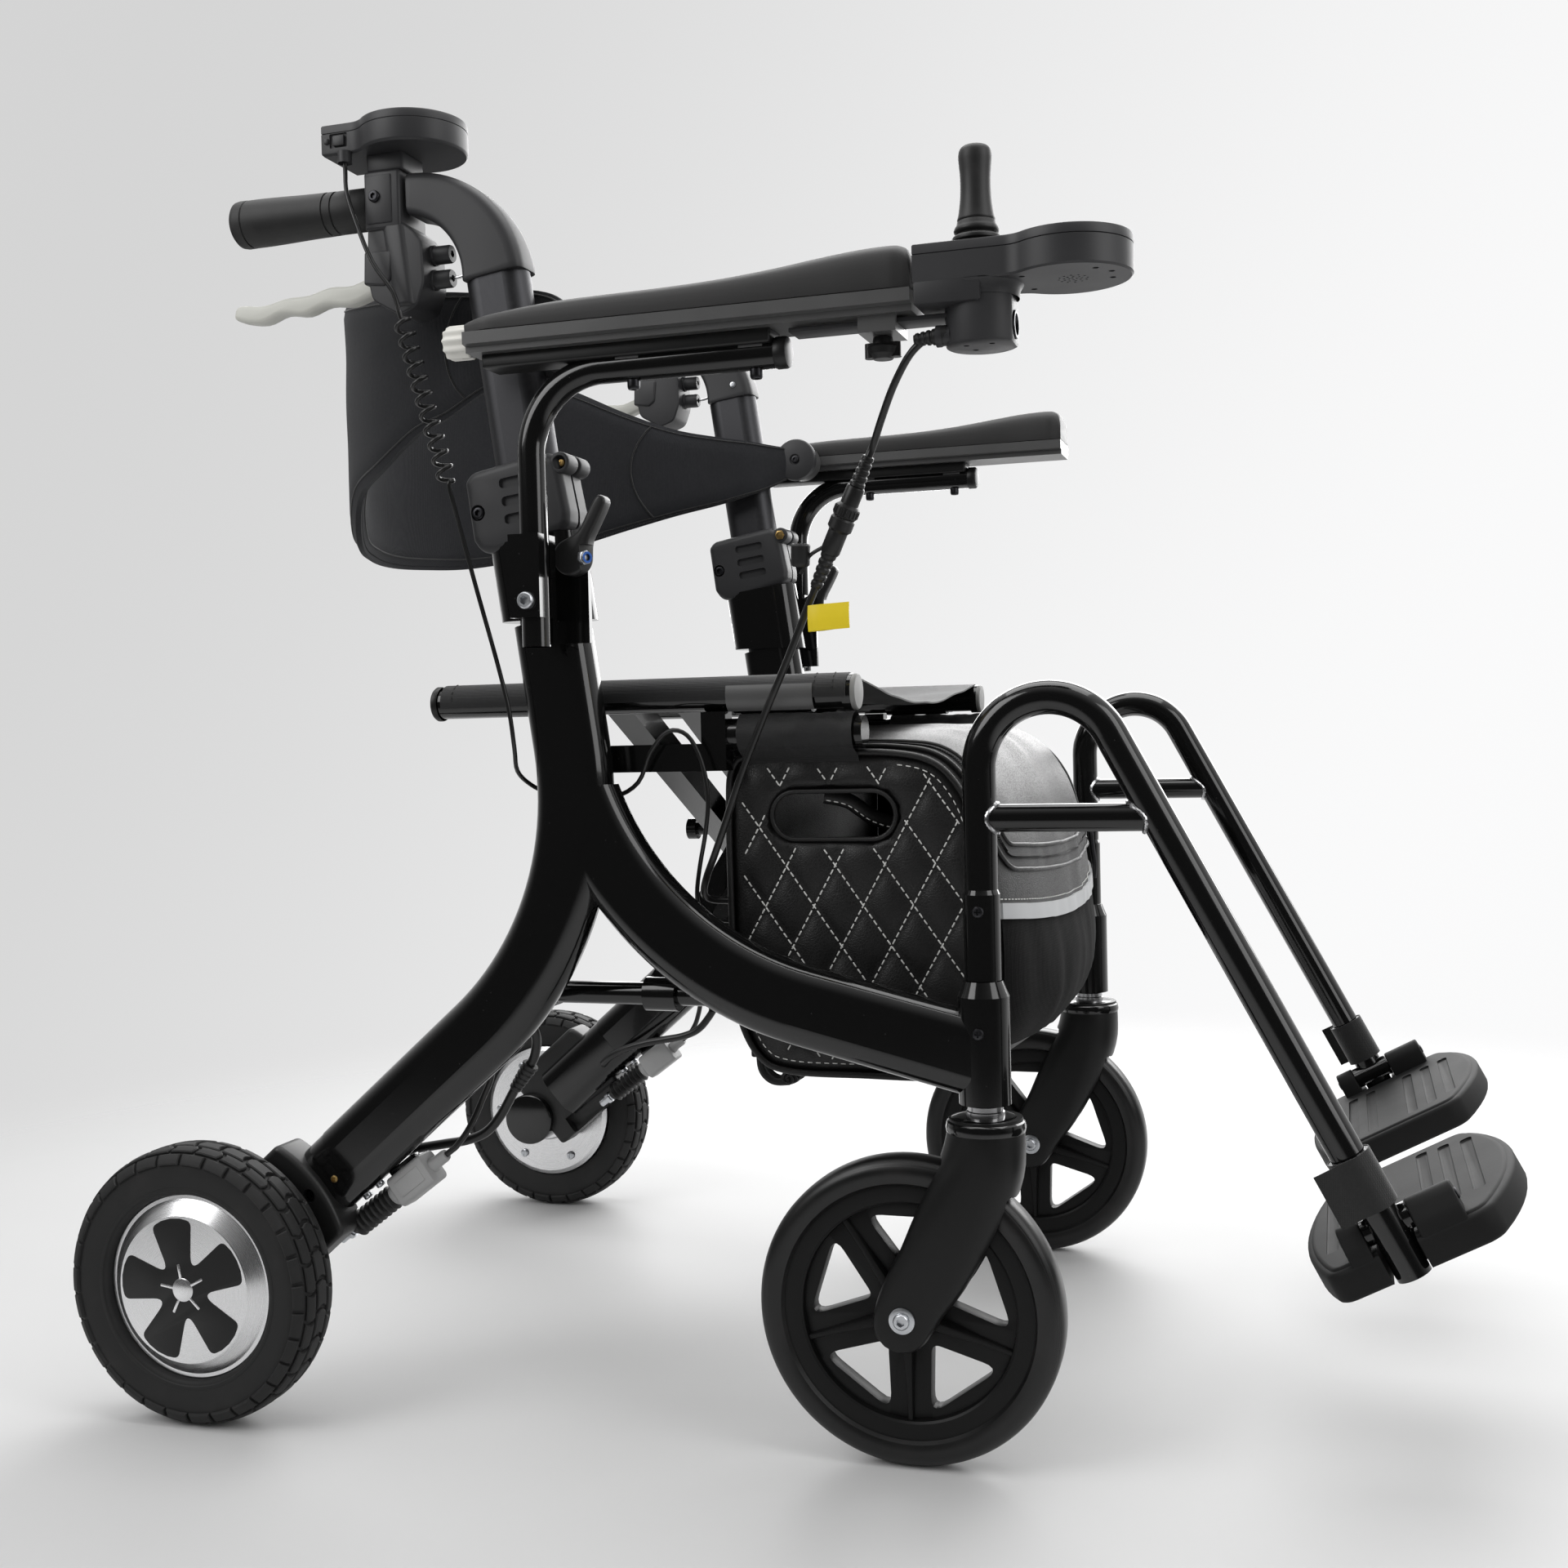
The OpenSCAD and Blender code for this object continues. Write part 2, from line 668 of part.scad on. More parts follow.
module right_arm_pad() color(hide) on_arm() {
    z = seam_z + seam;
    x = arm_x0;
    slab(pad_w) polygon(concat(
        [[x, z], [x, z + 6], [x + 3, z + 12], [x + 12, z + 15.5]],
        [for (i = [0 : 10]) [x + 30 + i * 22, z + 16 + 10 * pow(i / 10, 1.6)]],
        [[arm_x1 - 16, z + 28.5], [arm_x1 - 7, z + 26], [arm_x1 - 2, z + 21], [arm_x1, z + 14], [arm_x1, z]]
    ));
}

// Seat, braces and leg rests

brace_x = [302, 328.5, 355];
brace_mid_z = (rail_z + lower_rail_z) / 2;
brace_tilt = atan((rail_z - lower_rail_z) / (2 * rail_y));
brace_half = rail_y / cos(brace_tilt);

module brace_bar(x) at(x, 0, brace_mid_z) rotate([brace_tilt, 0, 0])
    cube([brace_w, 2 * brace_half, brace_w], center = true);

module seat_rail(y) at(0, y, rail_z) {
    bar_x(rail_x0, rail_x1, rail_d);
    // Clip under the rail and end cap
    difference() {
        bar_x(388, 444, rail_d + 4);
        block([380, -30, -1.5], [450, 30, 30]);
    }
    bar_x(rail_x1 - 6, rail_x1, rail_d + 3);
}

module sleeve(x, y) at(0, y, lower_rail_z) bar_x(x - brace_w / 2 - 2, x + brace_w / 2 + 2, lower_rail_d + 8);
module sleeve_bore(y) at(0, y, lower_rail_z) bar_x(200, 450, lower_rail_d + 2 * pin_gap);

// Right lower rail up to the left seat rail, one bar
module brace_a() color(black) at(-origin_x, 0, 0) {
    difference() {
        union() {
            brace_bar(brace_x[1]);
            sleeve(brace_x[1], -rail_y);
        }
        sleeve_bore(-rail_y);
        at(0, 0, brace_mid_z) bar_x(200, 450, 10 + 2 * pin_gap);
    }
    seat_rail(rail_y);
}

// Left lower rail up to the right seat rail, two bars and the centre pin
module brace_b() color(black) at(-origin_x, 0, 0) mirror([0, 1, 0]) {
    difference() {
        union()
            for (i = [0, 2]) {
                brace_bar(brace_x[i]);
                sleeve(brace_x[i], -rail_y);
            }
        sleeve_bore(-rail_y);
    }
    seat_rail(rail_y);
    at(0, 0, brace_mid_z) {
        bar_x(270, 376, 10);
        bar_x(270, 278, 17);
        bar_x(368, 376, 17);
    }
}

module seat_sling() color(cloth) at(rail_x0 + 10 - origin_x, 0, rail_z) rotate([90, 0, 90]) linear_extrude(rail_len - 20) {
    r = rail_r + seam;
    for (s = [-1, 1]) {
        translate([s * rail_y, 0]) difference() {
            circle(r = r + 2.4);
            circle(r = r);
            translate([-20, -41]) square([40, 40]);
            translate([s < 0 ? 0 : -40, -20]) square(40);
        }
    }
    polygon([
        [-rail_y - 1, r + 0.3], [-110, r - seat_sag * 0.62], [0, r - seat_sag], [110, r - seat_sag * 0.62], [rail_y + 1, r + 0.3],
        [rail_y + 1, r + 2.2], [110, r + 2.4 - seat_sag * 0.62], [0, r + 2.4 - seat_sag], [-110, r + 2.4 - seat_sag * 0.62],
        [-rail_y - 1, r + 2.2]
    ]);
}

// Half of the band in plan, from the pivot disc round to the middle: x, y, bottom, top, thickness
band = [
    [300, 256, 733, 757, 5], [286, 249, 724, 766, 5], [270, 235, 700, 784, 5], [252, 221, 664, 798, 6],
    [225, 217, 636, 806, 7], [185, 212, 626, 814, 9], [140, 201, 628, 822, 11], [95, 177, 634, 830, 12],
    [55, 142, 642, 837, 13], [25, 96, 650, 842, 13], [8, 48, 656, 845, 13]
];
band_mid = [[2, 0, 658, 846, 13]];
band_all = concat(
    [for (b = band) [b[0], -b[1], b[2], b[3], b[4]]],
    band_mid,
    [for (i = [len(band) - 1 : -1 : 0]) band[i]]
);

module backrest() color(cloth) at(-origin_x, 0, 0) {
    n = len(band_all);
    points = [
        for (i = [0 : n - 1])
            let (
                b = band_all[i],
                p = band_all[max(i - 1, 0)],
                q = band_all[min(i + 1, n - 1)],
                d = [q[0] - p[0], q[1] - p[1]] / norm([q[0] - p[0], q[1] - p[1]]),
                o = [-d.y, d.x] * b[4] / 2,
                e = min(b[4], (b[3] - b[2]) / 3)
            )
            each [
                [b[0] + o.x * 0.4, b[1] + o.y * 0.4, b[2]],
                [b[0] + o.x, b[1] + o.y, b[2] + e],
                [b[0] + o.x, b[1] + o.y, b[3] - e],
                [b[0] + o.x * 0.4, b[1] + o.y * 0.4, b[3]],
                [b[0] - o.x * 0.4, b[1] - o.y * 0.4, b[3]],
                [b[0] - o.x, b[1] - o.y, b[3] - e],
                [b[0] - o.x, b[1] - o.y, b[2] + e],
                [b[0] - o.x * 0.4, b[1] - o.y * 0.4, b[2]]
            ]
    ];
    faces = concat(
        [[for (k = [7 : -1 : 0]) k]],
        [for (i = [0 : n - 2], k = [0 : 7])
            let (a = i * 8 + k, b = i * 8 + (k + 1) % 8)
            each [[a, b, b + 8], [a, b + 8, a + 8]]],
        [[for (k = [0 : 7]) (n - 1) * 8 + k]]
    );
    polyhedron(points, faces, convexity = 6);
}

bag_outline = [
    [380, 320], [384, 284], [398, 258], [420, 248], [470, 247.9], [556, 248], [584, 268], [594, 305], [590, 350],
    [576, 410], [556, 448], [530, 467], [500, 470], [398, 470], [382, 460], [379, 430]
];

module bag() color(hide) at(-origin_x, 0, 0) {
    difference() {
        slab(2 * bag_y) polygon(bag_outline);
        slab(2 * bag_y - 2 * bag_wall) offset(delta = -bag_wall) polygon(bag_outline);
        // Grip slots in both sides
        at(455, 0, 427) slab(500) oval(88, 33);
    }
    // Sleeves on the bag rails
    for (s = [-1, 1])
        difference() {
            union() {
                at(0, s * rail_y, 484) bar_x(392, 474, 22 + 4);
                block([392, s * (bag_y - 2) - 2, 466], [474, s * (bag_y - 2) + 2, 480]);
            }
            at(0, s * rail_y, 484) bar_x(300, 500, 22 + 2 * seam);
        }
}

battery_x0 = 428;
battery_len = 122;
battery_w = 150;
battery_h = 76;
battery_y1 = bag_y - 15;

module battery() color(plastic) at(-origin_x, 0, 252.2) difference() {
    block([battery_x0, -battery_y1, 0], [battery_x0 + battery_len, battery_w - battery_y1, battery_h]);
    // Carrying recess in the lid
    block(
        [battery_x0 + 28, 46 - battery_y1, battery_h - 6],
        [battery_x0 + battery_len - 28, battery_w - 46 - battery_y1, battery_h + 4]
    );
}

module right_leg_rest() color(black) on_frame() {
    // Spigot, sleeve and upright
    at(castor_x, 0, head_z1) rotate_extrude() polygon([
        [0, -24], [9, -24], [9, 0.5], [leg_r + 1.2, 0.5], [leg_r + 1.2, 56], [leg_r, 59],
        [leg_r, arch_c.y - head_z1 - hair], [0, arch_c.y - head_z1 - hair]
    ]);
    bend(arch_c, arch_r, plate_a, 180) circle(r = leg_r);
    run(arch_out + unit(-leg_tilt) * hair, leg_end_p) circle(r = leg_r);
    core([castor_x, arch_c.y], 90, 5) circle(r = leg_r - 2.5);
    core(arch_out, -leg_tilt, 5) circle(r = leg_r - 2.5);
    at(0, 0, crossbar_z)
        bar_x(castor_x, arch_out.x + (arch_out.y - crossbar_z) / tan(leg_tilt), leg_tube_d - 4);
    at(hinge_p.x, 0, hinge_p.y) rotate([0, -plate_a, 0]) {
        at(0, hinge_in, 0) bar_x(-15, 15, 2 * knuckle_r);
        at(0, hinge_in, 0) bar_x(-29, 44, 8);
    }
    // Cuff round the lower tube
    run(leg_end_p - unit(-leg_tilt) * 46, leg_end_p - unit(-leg_tilt) * 80) circle(r = leg_r + 2.5);
}

// Plan of the tread: a rounded oblong with a bowed nose and heel
module tread_plan(edge) {
    front = plate_len - plate_back;
    mid = plate_w / 2 - plate_out;
    intersection() {
        translate([front - plate_len / 2, mid]) round_square(plate_len - 2 * edge, plate_w - 2 * edge, 28 - edge);
        translate([front - nose_r, mid]) circle(r = nose_r - edge);
        translate([heel_r - plate_back, mid]) circle(r = heel_r - edge);
    }
}

module right_footplate() color(plastic) at(hinge_p.x - origin_x, hinge_in - frame_y, hinge_p.y) rotate([0, -plate_a, 0]) {
    body_z = -plate_top - 3;
    difference() {
        union() {
            at(0, 0, -plate_low) linear_extrude(plate_low + body_z) tread_plan(0);
            // Stepped edge of the top
            at(0, 0, body_z - 1) linear_extrude(2.6) tread_plan(1.4);
            at(0, 0, body_z + 1) linear_extrude(2) tread_plan(4.4);
            // Hinge knuckles on walls that rise from the plate
            for (x = [[-30, -15.5], [15.5, 45]]) {
                bar_x(x[0], x[1], 2 * knuckle_r + 2);
                block([x[0], -knuckle_r - 1, body_z - 1], [x[1], knuckle_r + 1, 0]);
                block([x[0], 0.5 - plate_out, body_z - 1], [x[1], 0, -4]);
            }
        }
        // Hollow underside
        at(0, 0, -plate_low - 1) linear_extrude(plate_low + body_z - 1) tread_plan(6);
        // Notch for the tube and its hinge pin
        block([-15.3, -40, -40], [15.3, leg_r - 1.5, 30]);
        bar_x(-60, 60, 8 + 2 * pin_gap);
        // Long grooves across the top
        for (x = [-42, -24, -8, 25, 41, 57])
            block([x - 4.2, 46, -plate_top - 1], [x + 4.2, plate_w - 28 - pow(x - 8, 2) / 160, 0]);
    }
}

// Controls

box_x0 = arm_x1 + 2;
pear_x = box_x0 + 91;
pear_z = box_top_z - 24;
lid_h = 6.5;
ctrl_x0 = grip_x1 - 28;
ctrl_x1 = ctrl_x0 + 60;
ctrl_z = grip_z + 33;
stick_x = box_x0 + 35;
stick_z = box_top_z - 11;
pod_x = box_x0 + 37.5;

module pear(x0, w, x1, r, f = 18) {
    // Where the hollow curve meets the straight tail
    cx = x1 - sqrt(pow(r + f, 2) - pow(w / 2 + f, 2));
    translate([x1, 0]) circle(r = r);
    translate([x0, -w / 2]) square([cx - x0 + hair, w]);
    difference() {
        polygon([[cx, -w / 2 - f], [x1, 0], [cx, w / 2 + f]]);
        for (s = [-1, 1])
            translate([cx, s * (w / 2 + f)]) circle(r = f - 0.02);
    }
}

// Narrow groove round a pear, where its lid meets its case
module lid_groove(x0, w, x1, r) linear_extrude(0.5) difference() {
    pear(x0 - 1, w + 2, x1, r + 1, 17);
    pear(x0 + 0.6, w - 1.2, x1, r - 0.6, 18.6);
}

module joystick_box() color(plastic) on_arm() difference() {
    union() {
        at(0, 0, pear_z) linear_extrude(box_top_z - pear_z) pear(box_x0, pad_w, pear_x, pear_r);
        block([box_x0, -pad_w / 2, 739.5], [pod_x, pad_w / 2, box_top_z - 1]);
        // Pod with a flat front face
        at(0, 0, 716) linear_extrude(box_top_z - 717) intersection() {
            translate([pod_x, 0]) circle(r = 22.5);
            translate([pod_x - 30, -30]) square([50, 60]);
        }
        at(0, -9, 723) bar_x(pod_x - 26, pod_x - 16, 10);
        // Sliding strip
        block([arm_x1 - 81, -strip_w / 2, 733.7], [pod_x, strip_w / 2, channel_z - 0.4]);
        block([box_x0, -strip_w / 2, 733.7], [box_x0 + 20, strip_w / 2, 745]);
    }
    // Well for the stick, closed in by the lid
    at(stick_x, 0, stick_z - 11) cylinder(r = 20, h = 20);
    at(stick_x, 0, stick_z) cylinder(r = 18.6, h = 40);
    at(0, 0, stick_z) bar_x(stick_x - 22.5, stick_x + 22.5, 4 + 2 * pin_gap);
    at(0, 0, box_top_z - lid_h) lid_groove(box_x0, pad_w, pear_x, pear_r);
    // Charging socket in the pod
    at(0, 0, 728) bar_x(pod_x + 12, pod_x + 30, 15);
}

gimbal_r = 19;

module joystick_gimbal() color(metal) on_arm() at(stick_x, 0, stick_z) difference() {
    union() {
        at(0, 0, -4) cylinder(r = gimbal_r - 1, h = 8);
        bar_x(-22, 22, 4);
    }
    at(0, 0, -5) cylinder(r = 14, h = 10);
    bar_y(-30, 30, 4 + 2 * pin_gap);
}

module joystick_lever() color(rubber) on_arm() at(stick_x, 0, stick_z) {
    bar_y(-17, 17, 4);
    rotate_extrude() polygon([
        [0, -6], [6, -6], [6, 7], [8, 11.4], [14.6, 11.4], [14.8, 14], [12.5, 16.5], [14.5, 18.5], [14.5, 20],
        [11.5, 22], [13, 24], [12.5, 27], [10, 31], [9.2, 38], [9.3, stick_h], [10.3, stick_h + 7], [8.5, stick_h + 10.5],
        [5, stick_h + 12], [0, stick_h + 12]
    ]);
}

module thumb_knob() color(plastic) on_arm() at(guide_x + 12, 0, 0) {
    at(0, 0, 722) cylinder(d = 6, h = 11);
    rotate([0, 0, 0]) rotate_extrude() polygon([[0, 714], [6, 714], [9, 717], [10, 721], [7, 723], [6, 727.5], [0, 727.5]]);
    at(0, 0, 715) linear_extrude(9) round_square(23, 7, 3);
}

module rear_controller() color(plastic) on_frame() {
    difference() {
        at(0, 0, ctrl_z) linear_extrude(22) pear(ctrl_x0, 46, ctrl_x1, 38);
        at(0, 0, ctrl_z + 22 - lid_h) lid_groove(ctrl_x0, 46, ctrl_x1, 38);
        // Recess for the slide switch
        block([ctrl_x0 + 6.5, -30, ctrl_z + 4], [ctrl_x0 + 20.5, -21.6, ctrl_z + 13]);
    }
    block([ctrl_x0 + 9, -23.4, ctrl_z + 5.5], [ctrl_x0 + 18, -21, ctrl_z + 11.5]);
    at(ctrl_x1 - 16, 0, grip_z + 20 + seam) cylinder(d = 26, h = 20);
    // Cord outlet under the tail
    at(ctrl_x0 + 19, -24, ctrl_z - 7) cylinder(d = 9, h = 10);
}

// Cords

cord_d = 5;
connector_p = [503, -277, 659];
connector_q = [461, -262, 578];
connector_dir = (connector_q - connector_p) / norm(connector_q - connector_p);

module joystick_cord() color(rubber) at(-origin_x, 0, 0) {
    tube(smooth([
        [556.3, -310, 723], [549, -310, 722], [538, -307, 714], [526, -300, 698], [515, -289, 680],
        connector_p - connector_dir * 8, connector_p - connector_dir * 0.5
    ]), cord_d);
    tube(smooth([
        connector_q + connector_dir * 0.5, connector_q + connector_dir * 10, [438, -254, 532], [421, -248, 500],
        [402, -244, 460], [387, -240, 424], [379, -234, 400], [372, -224, 382], [367, -211, 372], [369, -203, 368],
        [379.3, -201, 367]
    ]), cord_d);
}

// Plug, screw collar and socket in line, with a folded tag on the lower end
module cord_connector() color(plastic) at(-origin_x, 0, 0) translate(connector_p) {
    d = connector_q - connector_p;
    n = norm(d);
    rotate([0, acos(d.z / n), atan2(d.y, d.x)]) {
        rotate_extrude() polygon([
            [0, 0], [4.2, 0], [5.5, 14], [6.2, 15], [6.2, 34], [8.2, 35], [8.2, 50], [6.4, 51], [6.4, 70],
            [5.2, 72], [4.4, n], [0, n]
        ]);
    }
}

// Coil of the controller cord: one run of curls between straight ends
thin_d = 3.2;
coil_p = [170, -276, 782];
coil_q = [203, -274, 658];
coil_t = (coil_q - coil_p) / norm(coil_q - coil_p);
coil_u = side_of(coil_t);
coil_v = cross(coil_t, coil_u);
coil_pitch = norm(coil_q - coil_p) / curls;
coil_rad = (coil_d - thin_d) / 2;
coil_run = [
    for (i = [2 : curls * 8 - 2])
        let (a = i * 45, r = coil_rad * min(1, i / 5, (curls * 8 - i) / 5))
        coil_p + coil_t * coil_pitch * i / 8 + (coil_u * cos(a) + coil_v * sin(a)) * r
];
echo(coil_gap = coil_pitch - thin_d / cos(180 / 6));

module controller_cord() color(rubber) at(-origin_x, 0, 0) {
    tube(concat(
        smooth([[128, -272, 889.8], [128, -272, 884], [130, -274, 868], [138, -276, 846], [150, -277, 818], [165, -276, 796]], 2),
        coil_run,
        smooth([
            coil_q + coil_t * 8, [211, -274, 628], [222, -273, 585], [234, -272, 540], [242, -271, 505], [243, -266, 478],
            [238, -252, 462], [240, -236, 452], [250, -229, 446], [272, -228.6, 442], [300, -228.8, 442],
            [320, -231, 452], [332, -236, 473], [346, -238, 487], [360, -238, 484], [370, -238, 466], [374, -238, 442],
            [371, -236, 418], [364, -230, 394], [358, -221, 374], [356, -210, 361], [361, -201, 354], [379.4, -198, 352]
        ], 2)
    ), thin_d, 6);
}

// The left hand side mirrors the right

module flipped() mirror([0, 1, 0]) children();

module left_rear_leg() color(black) flipped() right_rear_leg();
module left_front_leg() color(black) flipped() right_front_leg();
module left_rails() color(black) flipped() right_rails();
module left_wheel_mount() color(black) flipped() right_wheel_mount();
module left_post_clamp() color(plastic) flipped() right_post_clamp();
module left_brake_unit() color(grey) flipped() right_brake_unit();
module left_motor_lead() color(rubber) flipped() right_motor_lead();
module left_rear_tyre() color(rubber) flipped() right_rear_tyre();
module left_rear_hub() color(metal) flipped() right_rear_hub();
module left_fork() color(plastic) flipped() right_fork();
module left_front_rim() color(plastic) flipped() right_front_rim();
module left_front_tyre() color(rubber) flipped() right_front_tyre();
module left_handle_tube() color(black) flipped() right_handle_tube();
module left_elbow() color(plastic) flipped() right_elbow();
module left_grip() color(rubber) flipped() right_grip();
module left_brake_housing() color(plastic) flipped() right_brake_housing();
module left_brake_lever() color(plastic) flipped() right_brake_lever();
module left_arm_pad() color(hide) flipped() right_arm_pad();
module left_arm_tube() color(black) flipped() right_arm_tube();
module left_cam_lever() color(grey) flipped() right_cam_lever();
module left_leg_rest() color(black) flipped() right_leg_rest();
module left_footplate() color(plastic) flipped() right_footplate();

right_rear_leg();
right_front_leg();
right_rails();
right_wheel_mount();
right_post_clamp();
right_brake_unit();
right_motor_lead();
right_rear_tyre();
right_rear_hub();
right_fork();
right_front_rim();
right_front_tyre();
right_handle_tube();
right_elbow();
right_grip();
right_brake_housing();
right_brake_lever();
right_arm_channel();
right_arm_pad();
right_arm_tube();
right_cam_lever();
right_leg_rest();
right_footplate();
left_rear_leg();
left_front_leg();
left_rails();
left_wheel_mount();
left_post_clamp();
left_brake_unit();
left_motor_lead();
left_rear_tyre();
left_rear_hub();
left_fork();
left_front_rim();
left_front_tyre();
left_handle_tube();
left_elbow();
left_grip();
left_brake_housing();
left_brake_lever();
left_arm_channel();
left_arm_pad();
left_arm_tube();
left_cam_lever();
left_leg_rest();
left_footplate();
brace_a();
brace_b();
seat_sling();
backrest();
bag();
battery();
joystick_box();
joystick_gimbal();
joystick_lever();
thumb_knob();
rear_controller();
joystick_cord();
cord_connector();
controller_cord();
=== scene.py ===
"""Looks of the rollator transport chair: finishes, soft goods, cords and small fittings.

Shapes are drawn in millimetres: X ahead of the rear axle, Y to the chair's left, Z above the floor.
"""
import math

import bmesh
import bpy
from mathutils import Matrix, Vector, geometry, noise


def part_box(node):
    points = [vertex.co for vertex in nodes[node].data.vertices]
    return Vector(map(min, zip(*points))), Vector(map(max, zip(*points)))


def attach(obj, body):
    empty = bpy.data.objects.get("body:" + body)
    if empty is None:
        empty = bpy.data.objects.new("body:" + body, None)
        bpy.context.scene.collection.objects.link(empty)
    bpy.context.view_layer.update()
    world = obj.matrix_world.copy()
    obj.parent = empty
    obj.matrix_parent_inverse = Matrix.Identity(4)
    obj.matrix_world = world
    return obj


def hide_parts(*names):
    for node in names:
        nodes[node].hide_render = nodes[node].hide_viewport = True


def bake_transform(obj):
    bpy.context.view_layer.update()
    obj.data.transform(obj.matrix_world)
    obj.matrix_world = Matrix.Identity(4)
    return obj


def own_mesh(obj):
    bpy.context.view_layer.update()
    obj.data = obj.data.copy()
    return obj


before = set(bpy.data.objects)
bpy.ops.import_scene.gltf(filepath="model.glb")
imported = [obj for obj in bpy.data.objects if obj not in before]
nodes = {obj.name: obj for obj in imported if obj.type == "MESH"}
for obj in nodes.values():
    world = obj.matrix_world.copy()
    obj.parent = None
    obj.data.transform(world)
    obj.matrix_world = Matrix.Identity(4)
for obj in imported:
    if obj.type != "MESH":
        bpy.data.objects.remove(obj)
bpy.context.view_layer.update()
scene = bpy.context.scene

MM = 0.001
tyre_low, tyre_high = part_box("right_rear_tyre")
AXLE_X, AXLE_Z = (tyre_low.x + tyre_high.x) / 2, (tyre_low.z + tyre_high.z) / 2
SIDES = ("right", "left")


def spot(x, y, z):
    """A place in the frame, in metres."""
    return Vector((x * MM + AXLE_X, y * MM, z * MM))


# Shader values and finishes


class Value:
    """A shader value: arithmetic on it adds the Math nodes that it needs."""

    def __init__(self, tree, socket):
        self.tree = tree
        self.socket = socket

    def math(self, operation, first, second):
        return self.tree.node("ShaderNodeMath", {"operation": operation}, {0: first, 1: second})

    def __add__(self, other):
        return self.math("ADD", self, other)

    def __radd__(self, other):
        return self.math("ADD", other, self)

    def __sub__(self, other):
        return self.math("SUBTRACT", self, other)

    def __rsub__(self, other):
        return self.math("SUBTRACT", other, self)

    def __mul__(self, other):
        return self.math("MULTIPLY", self, other)

    def __rmul__(self, other):
        return self.math("MULTIPLY", other, self)

    def __gt__(self, other):
        return self.math("GREATER_THAN", self, other)

    def __lt__(self, other):
        return self.math("LESS_THAN", self, other)


class Tree:
    """A node tree, with one method for every node that isn't arithmetic."""

    def __init__(self, tree):
        self.tree = tree

    def node(self, kind, settings=None, sockets=None, out=0):
        made = self.tree.nodes.new(kind)
        for name, setting in (settings or {}).items():
            setattr(made, name, setting)
        for name, value in (sockets or {}).items():
            if isinstance(value, Value):
                self.tree.links.new(value.socket, made.inputs[name])
            else:
                made.inputs[name].default_value = value
        return Value(self, made.outputs[out])

    def place(self):
        return self.node("ShaderNodeTexCoord", out="Object")

    def noise(self, size, detail):
        """Noise whose features are about size millimetres across."""
        sockets = {"Vector": self.place(), "Scale": 1000 / size, "Detail": detail}
        return self.node("ShaderNodeTexNoise", {}, sockets, "Fac")

    def cells(self, size, feature="F1"):
        """Cells about size millimetres across."""
        sockets = {"Vector": self.place(), "Scale": 1000 / size}
        return self.node("ShaderNodeTexVoronoi", {"feature": feature}, sockets, "Distance")

    def between(self, value, low, high):
        """0 below low, 1 above high, and a smooth step between."""
        return self.node(
            "ShaderNodeMapRange",
            {"interpolation_type": "SMOOTHSTEP"},
            {"Value": value, "From Min": low, "From Max": high},
        )

    def tint(self, factor, first, second):
        return self.node("ShaderNodeMix", {"data_type": "RGBA"}, {0: factor, 6: first, 7: second}, 2)

    def bump(self, height, depth, strength):
        """Relief whose height of 1 is depth millimetres."""
        sockets = {"Height": height, "Distance": depth * MM, "Strength": strength}
        return self.node("ShaderNodeBump", {}, sockets, "Normal")


class Finish(Tree):
    """A material on a Principled shader."""

    def __init__(self, name, **constants):
        self.material = bpy.data.materials.new(name)
        self.material.use_nodes = True
        super().__init__(self.material.node_tree)
        self.shader = self.tree.nodes["Principled BSDF"]
        self.feed(**constants)

    def feed(self, **values):
        for socket, value in values.items():
            target = self.shader.inputs["IOR" if socket == "ior" else socket.replace("_", " ").title()]
            if isinstance(value, Value):
                self.tree.links.new(value.socket, target)
            else:
                target.default_value = value
        return self.material


def grey(level, warm=0.0, cool=0.0):
    return (level + warm, level, level + cool, 1.0)


def gloss_paint():
    """Black lacquer with a faint orange peel, smudges and dust specks."""
    f = Finish("gloss_black_paint", coat_roughness=0.03, ior=1.5)
    smudge = f.noise(60, 3)
    fine = f.noise(7, 2)
    speck = f.cells(9) < 0.045
    peel = f.noise(2.4, 1)
    return f.feed(
        base_color=f.tint(speck * 0.35, grey(0.0035), grey(0.05)),
        roughness=0.07 + smudge * 0.07 + fine * 0.03 + speck * 0.2,
        coat_weight=0.2 + smudge * 0.2,
        normal=f.bump(peel, 0.02, 0.35),
    )


def moulding(name, level, roughness, grain=0.45, relief=0.03, cool=0.0, ior=1.48):
    """Moulded plastic with a spark eroded grain and rubbed, slightly shinier patches."""
    f = Finish(name, ior=ior)
    rub = f.noise(38, 3)
    skin = f.noise(grain, 2)
    return f.feed(
        base_color=f.tint(rub, grey(level * 0.85, cool=cool), grey(level * 1.2, cool=cool)),
        roughness=roughness - 0.08 + rub * 0.12 + skin * 0.06,
        normal=f.bump(skin, relief, 0.6),
    )


def rubber_skin(name, level, roughness, size=0.9, relief=0.05):
    """Rubber with a fine skin and pale dust in patches."""
    f = Finish(name, ior=1.5)
    dust = f.noise(24, 4)
    skin = f.noise(size, 3)
    return f.feed(
        base_color=f.tint(f.between(dust, 0.45, 0.8), grey(level), grey(level * 1.9, 0.001)),
        roughness=roughness + dust * 0.12,
        normal=f.bump(skin, relief, 0.6),
    )


